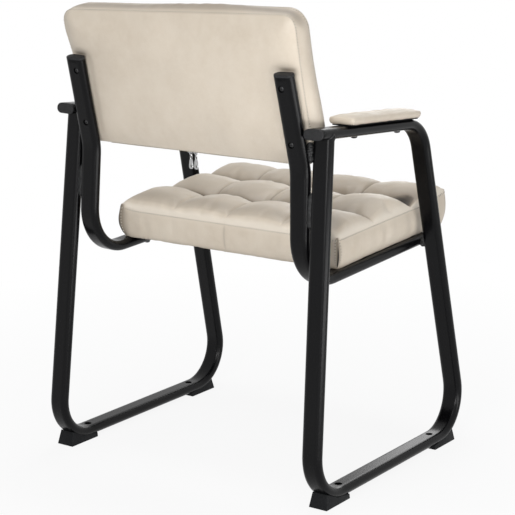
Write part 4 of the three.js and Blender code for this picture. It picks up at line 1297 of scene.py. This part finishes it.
def back_holding(places):
    """The seams and the places under the posts are held, and the plain rear is calm."""
    u, v, w = places.T
    rim = on_rim(u, v)
    front = w > 1 - TINY
    rear = w < TINY
    seams = front & (rim | on_marks(u, BACK_COLUMN_SHARES) | on_marks(v, BACK_ROW_SHARES))
    pressed = rear & (post_press((2 * u - 1) * BACK_WIDTH / 2, (2 * v - 1) * BACK_HEIGHT / 2) > 0.02)
    held = np.where(seams | pressed | (rear & rim), 1.0, 0.0)
    return held, np.where(front & ~rim, 0.0, np.where(rear, 1.0, 0.95))


def cushion(name, shares, sizes, steps, nears, form, home, node, fill, cover=None):
    places, faces = box_shell(*map(stations, shares, sizes, steps, nears))
    points, painted_light = form(places)
    if cover:
        holding, spare, cap = cover
        cover_places, cover_faces = box_shell(*map(stations, shares, sizes, [CLOTH_GRID] * 3, [[]] * 3))
        rest, _ = form(cover_places)
        move = blown(rest, cover_faces, *holding(cover_places), spare, cap)
        points = points + spread(points, rest, move, CLOTH_BLEND)
    made = make(name, points, faces, home)
    # The painted shade and painted highlight go onto the points, for the cover's material to read
    painted_light_marks = made.data.attributes.new("painted_light", "FLOAT", "POINT")
    painted_light_marks.data.foreach_set("value", np.asarray(painted_light, np.float32))
    fine = made.modifiers.new("fine", "SUBSURF")
    fine.levels = 1
    fine.render_levels = 1
    baked(made)
    dress(made, "upholstery", replaces=[node])
    return made


grids = (
    (SEAT_COLUMN_SHARES, SEAT_ROW_SHARES, [1]),
    (SEAT_WIDTH, SEAT_DEPTH, SEAT_BOXING),
    SEAT_STEPS,
    (NEAR_SEAM, NEAR_SEAM, NEAR_EDGE),
)
cover = (seat_holding, SEAT_SPARE_SHARE, SEAT_CAP)
seat_pad = cushion("seat_pad", *grids, seat_form, seat, "seat_cushion", 0.8, cover)
grids = (
    (BACK_COLUMN_SHARES, BACK_ROW_SHARES, [1]),
    (BACK_WIDTH, BACK_HEIGHT, BACK_THICKNESS),
    BACK_STEPS,
    (NEAR_SEAM, NEAR_SEAM, NEAR_EDGE),
)
cover = (back_holding, BACK_SPARE_SHARE, BACK_CAP)
back_pad = cushion("back_pad", *grids, back_form, back_stand, "back_cushion", 0.75, cover)
grids = (
    ([1], [1], [1]),
    (PAD_WIDTH, PAD_LENGTH, PAD_HEIGHT),
    PAD_STEPS,
    (NEAR_EDGE, NEAR_EDGE, NEAR_EDGE[:1]),
)
for side in SIDES:
    cushion(f"arm_top_{side}", *grids, pad_form, arms[side], f"arm_pad_{side}", 0.7)


# Stitches: small capsules laid along a line on a cushion
def capsule(start, end, normal, radius):
    sideways = np.cross(end - start, normal)
    sideways /= np.linalg.norm(sideways)
    up = np.cross(sideways, (end - start) / np.linalg.norm(end - start))
    rings = []
    for share, size in STITCH_SHARES:
        lift = radius * (0.5 * math.sin(math.pi * share) - 0.4)
        centre = start + (end - start) * share + normal * lift
        rings.append(centre + circle(radius * size, 6) @ np.stack([sideways, up]))
    return loft(rings)


def stitch_row(name, target, path, closed=False):
    """A row of stitches along a path of points near the target's surface, with dark pieces between them that
    paint the shade of the needle holes.
    """
    mesh = target.data
    tree = BVHTree.FromPolygons([v.co for v in mesh.vertices], [p.vertices for p in mesh.polygons])
    if closed:
        path = np.concatenate([path, path[:1]])
    spans = np.linalg.norm(np.diff(path, axis=0), axis=1)
    run = np.concatenate([[0], np.cumsum(spans)])
    count = int(run[-1] / STITCH_PITCH)
    rows = ((name, 1 / 2, STITCH_LENGTH, STITCH_RADIUS, 0, THREAD),)
    rows += ((name + "_holes", 1, NEEDLE_HOLE_LENGTH, NEEDLE_HOLE_RADIUS, 0.45, NEEDLE_HOLE_SHADE),)
    for row_name, phase, length, radius, sunk_share, material in rows:
        parts = []
        for k in range(count):
            middle = (k + phase) * run[-1] / count
            ends, normals = [], []
            for place in (middle - length / 2, middle + length / 2):
                near = [np.interp(place, run, path[:, axis]) for axis in range(3)]
                found, normal, _, _ = tree.find_nearest(Vector(near))
                ends.append(np.array(found))
                normals.append(np.array(normal))
            normal = (normals[0] + normals[1]) / np.linalg.norm(normals[0] + normals[1])
            sink = normal * radius * sunk_share
            parts.append(capsule(ends[0] - sink, ends[1] - sink, normal, radius))
        made = make(row_name, *merged(parts))
        recalculate(made)
        dress(made, "upholstery", material=material)


def around(form, home, w):
    """Points of a cushion's border at one height share, all the way round."""
    steps = np.linspace(0, 1, 160, endpoint=False)
    rim = [(s, 0.0, w) for s in steps] + [(1.0, s, w) for s in steps]
    rim += [(1 - s, 1.0, w) for s in steps] + [(0.0, 1 - s, w) for s in steps]
    return placed(form(np.array(rim))[0], home)


stitch_row("seat_stitches", seat_pad, around(seat_form, seat, 1 - STITCH_ROW / SEAT_BOXING), True)
heights = {"rear": STITCH_ROW / 3, "front": BACK_THICKNESS - STITCH_ROW}
for edge, height in heights.items():
    path = around(back_form, back_stand, height / BACK_THICKNESS)
    stitch_row(f"back_stitches_{edge}", back_pad, path, True)


# The rear corners of the seat: a seam that gapes a little, with a stitch row on each side and a dark piece in
# the gap that paints its shadow
def corner_line(sign, low_share, high_share, along_x=0, along_y=0):
    """Points up the boxing beside a rear corner, this far from it along the rear and the side."""
    u = 0.5 + sign * (0.5 - along_x / SEAT_WIDTH)
    places = np.array([(u, 1 - along_y / SEAT_DEPTH, w) for w in np.linspace(low_share, high_share, 24)])
    return placed(seat_form(places)[0], seat)


for side, sign in SIDES.items():
    for face, off_corner in (("rear", (CORNER_ROW, 0)), ("side", (0, CORNER_ROW))):
        path = corner_line(sign, *CORNER_ROW_SHARES, *off_corner)
        stitch_row(f"corner_stitches_{face}_{side}", seat_pad, path)
    line = corner_line(sign, *GAP_SHARES)
    rings = []
    for share, place in zip(np.linspace(0, 1, len(line)), line):
        size = GAP_RADIUS * (0.15 + math.sin(math.pi * min(1, 1.15 * share + 0.1)) ** 0.7)
        rings.append(lifted(circle(size, 12), 0) + place - np.array([sign, 1, 0]) * GAP_RADIUS * 0.2)
    gap = make(f"corner_gap_{side}", *loft(rings))
    recalculate(gap)
    dress(gap, "upholstery", material=SHADOW)


# Zip: tape, two rows of teeth, sliders and pulls
def block(centre, size):
    low, high = [lifted(SQUARE * size[:2] / 2, z * size[2] / 2) + centre for z in (-1, 1)]
    return loft([low, high])


def tape_sheet():
    """A thin closed sheet that ripples towards its long edges."""
    places, faces = box_shell(np.linspace(0, 1, 121), np.linspace(0, 1, 9), np.array([0.0, 1.0]))
    x, y = (places[:, 0] - 1 / 2) * ZIP_LENGTH, (places[:, 1] - 1 / 2) * ZIP_TAPE_WIDTH
    ripple = ZIP_RIPPLE * np.sin(x / ZIP_RIPPLE_LENGTH) * np.abs(y) / (ZIP_TAPE_WIDTH / 2)
    z = ripple - ZIP_TAPE_THICKNESS + places[:, 2] * ZIP_TAPE_CLOTH
    return np.stack([x, y, z], 1), faces


tape = make("zip_band", *tape_sheet(), zip_home, MOULDED_ANGLE)
tooth = np.array([ZIP_TOOTH_PITCH * 0.42, ZIP_TEETH_WIDTH * 0.55, ZIP_TEETH_HEIGHT])
tooth_height = -ZIP_TAPE_THICKNESS - ZIP_TEETH_HEIGHT / 2
teeth = []
for k in range(int((ZIP_LENGTH - 2 * ZIP_END) / ZIP_TOOTH_PITCH)):
    x = -ZIP_LENGTH / 2 + ZIP_END + k * ZIP_TOOTH_PITCH
    for row, offset in ((-1, 0.0), (1, ZIP_TOOTH_PITCH / 2)):
        teeth.append(block((x + offset, row * ZIP_TEETH_WIDTH * 0.225, tooth_height), tooth))
teeth_piece = make("zip_teeth", *merged(teeth), zip_home, TEETH_ANGLE)
dress(tape, "tape_cloth", replaces=["zip_tape"])
dress(teeth_piece, "zip_metal")


def squarish(count, power_x, power_y):
    """An outline within -1 and 1, between an oval and a rectangle."""
    outline = circle(1, count)
    return np.sign(outline) * np.abs(outline) ** np.array([power_x, power_y])


def round_wire(path, radius, sides=10):
    rings = []
    for k, point in enumerate(path):
        way = np.subtract(path[min(len(path) - 1, k + 1)], path[max(0, k - 1)])
        way /= np.linalg.norm(way)
        sideways = np.cross(way, [0.0, 1.0, 0.0])
        sideways /= np.linalg.norm(sideways)
        rings.append(point + circle(radius, sides) @ np.stack([sideways, np.cross(sideways, way)]))
    return loft(rings)


def slider(side, home):
    outline = squarish(24, 0.5, 0.6) * [SLIDER_HALF_WIDTH, SLIDER_HALF_DEPTH]
    outline[:, 1] *= 1 - 0.16 * circle(1, 24)[:, 0] ** 2
    heights = (0, -SLIDER_EDGE, SLIDER_EDGE - SLIDER_HEIGHT, -SLIDER_HEIGHT)
    rings = [lifted(outline * share, SLIDER_TOP + z) for share, z in zip((0.86, 1, 1, 0.86), heights)]
    body = make("slider", *loft(rings), home)
    recalculate(body)
    loop = []
    start = SLIDER_TOP - LOOP_SINK
    for angle in np.linspace(0, math.pi, 21):
        height = start + (LOOP_BAR - start) * math.sin(angle) ** 0.6
        loop.append((-LOOP_HALF_WIDTH * math.cos(angle), 0.0, height))
    wire = make("wire", *round_wire(loop, LOOP_WIRE), home)
    dress(join(f"slider_{side}", [body, wire]), "zip_metal", f"{side}_slider", [f"zip_slider_{side}"])


def pull(name, home):
    home = home @ shifted(0, 0, LOOP_BAR) @ turned(POST_LEAN, "X")
    middle, half_long = (PULL_TOP + PULL_LOW) / 2, (PULL_TOP - PULL_LOW) / 2
    outline = squarish(32, 0.55, 0.6)
    outline[:, 0] *= 1 - 0.18 * outline[:, 1]
    outline = outline * [PULL_HALF_WIDTH, half_long]
    rings = []
    for share, depth_share in ((0.93, -1 / 2), (1, -1 / 4), (1, 1 / 4), (0.93, 1 / 2)):
        rings.append(upended(outline * share + [0, middle], depth_share * PULL_THICKNESS))
    plate = make("plate", *loft(rings), home)
    recalculate(plate)
    hole = circle(1, 20) * PULL_HOLE + [0, PULL_LOW + PULL_HOLE_RISE]
    cutter = make("cutter", *loft([upended(hole, y) for y in (-PULL_CUT_REACH, PULL_CUT_REACH)]), home)
    recalculate(cutter)
    cut(plate, [cutter])
    bail = []
    for angle in np.linspace(0, 2 * math.pi, 25):
        narrow = 1.0 if math.cos(angle) < 0.3 else 0.85
        height = BAIL_MIDDLE + BAIL_HALF_LENGTH * math.cos(angle)
        bail.append((BAIL_HALF_WIDTH * math.sin(angle) * narrow, 0.0, height))
    wire = make("wire", *round_wire(bail, BAIL_WIRE), home)
    recalculate(wire)
    dress(join(f"pull_{name}", [plate, wire]), "zip_metal", f"{name}_pull", [f"zip_pull_{name}"])


for side, sign in SIDES.items():
    home = zip_home @ shifted(ZIP_REST_X + sign * ZIP_REST_SPACING / 2, 0, 0)
    slider(side, home)
    pull(side, home)


# Nodes that keep their own shape
KEPT = {
    "arm_pad_board": "black_cloth",
    "seat_board": "plywood",
    "seat_dust_cover": "black_cloth",
    "back_board": "plywood",
    "seat_bolt": "black_steel",
    "glide_screw": "black_steel",
    "seat_nut": "zinc_steel",
    "back_nut": "zinc_steel",
}
for name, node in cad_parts.items():
    for start, slot in KEPT.items():
        if name.startswith(start) and not node.hide_render:
            if not node.material_slots:
                node.data.materials.append(MATERIALS[slot])
            for place in node.material_slots:
                place.material = MATERIALS[slot]


# Floor, light and camera
def seen_or_mirrored(tree):
    """1 for rays from the camera, and for those that a gloss or a glass sends on."""
    rays = added(tree, "ShaderNodeLightPath").outputs
    seen = rays["Is Camera Ray"]
    for other in ("Is Glossy Ray", "Is Transmission Ray"):
        seen = added(tree, "ShaderNodeMath", [(0, seen), (1, rays[other])], operation="MAXIMUM").outputs[0]
    return seen


def floor():
    made = make("floor", lifted(SQUARE * FLOOR_REACH, 0), [(0, 1, 2, 3)])
    look = Look("floor", (0, 0, 0), 0.75, specular=0.2)
    look.shader.inputs["Base Color"].default_value = FLOOR_COLOR
    reach = look.node("ShaderNodeVectorMath", [(0, look.place)], operation="LENGTH").outputs["Value"]
    glow_share = look.ranged(reach, *FLOOR_FADE, FLOOR_GLOW_SHARE, 1)
    factor = look.math("MULTIPLY", seen_or_mirrored(look.tree), glow_share)
    glow = look.node("ShaderNodeEmission").outputs["Emission"]
    mix = look.node("ShaderNodeMixShader", [("Fac", factor), (1, look.shader.outputs["BSDF"]), (2, glow)])
    look.tree.links.new(mix.outputs["Shader"], look.tree.nodes["Material Output"].inputs["Surface"])
    made.data.materials.append(look.material)


def surroundings():
    world = bpy.data.worlds.new("studio")
    bpy.context.scene.world = world
    world.use_nodes = True
    tree = world.node_tree
    soft = tree.nodes["Background"]
    soft.inputs["Color"].default_value = SKY_COLOR
    soft.inputs["Strength"].default_value = SKY_STRENGTH
    white = added(tree, "ShaderNodeBackground", [("Color", (1, 1, 1, 1)), ("Strength", 1)])
    shaders = [(1, soft.outputs["Background"]), (2, white.outputs["Background"])]
    mix = added(tree, "ShaderNodeMixShader", [("Fac", seen_or_mirrored(tree)), *shaders])
    tree.links.new(mix.outputs["Shader"], tree.nodes["World Output"].inputs["Surface"])


def lamp(name, place, target, size, power):
    data = bpy.data.lights.new(name, "AREA")
    data.shape = "RECTANGLE"
    data.size, data.size_y = size
    data.energy = power
    made = shown(name, data)
    made.location = place
    made.rotation_euler = (Vector(target) - Vector(place)).to_track_quat("-Z", "Y").to_euler()
    made.visible_camera = False


def camera():
    data = bpy.data.cameras.new("camera")
    data.lens = CAMERA_LENS
    made = shown("camera", data)
    forward = CAMERA_FORWARD.normalized()
    flat = forward.cross(Vector((0, 0, 1))).normalized()
    high = flat.cross(forward)
    c, s = math.cos(CAMERA_ROLL), math.sin(CAMERA_ROLL)
    right, up = c * flat + s * high, c * high - s * flat
    turn = Matrix((right, up, -forward)).transposed().to_4x4()
    made.matrix_world = Matrix.Translation(CAMERA_PLACE) @ turn
    bpy.context.scene.camera = made


floor()
surroundings()
for name, settings in LAMPS.items():
    lamp(name, *settings)
camera()
bpy.context.scene.view_settings.view_transform = "Standard"

bpy.context.view_layer.update()
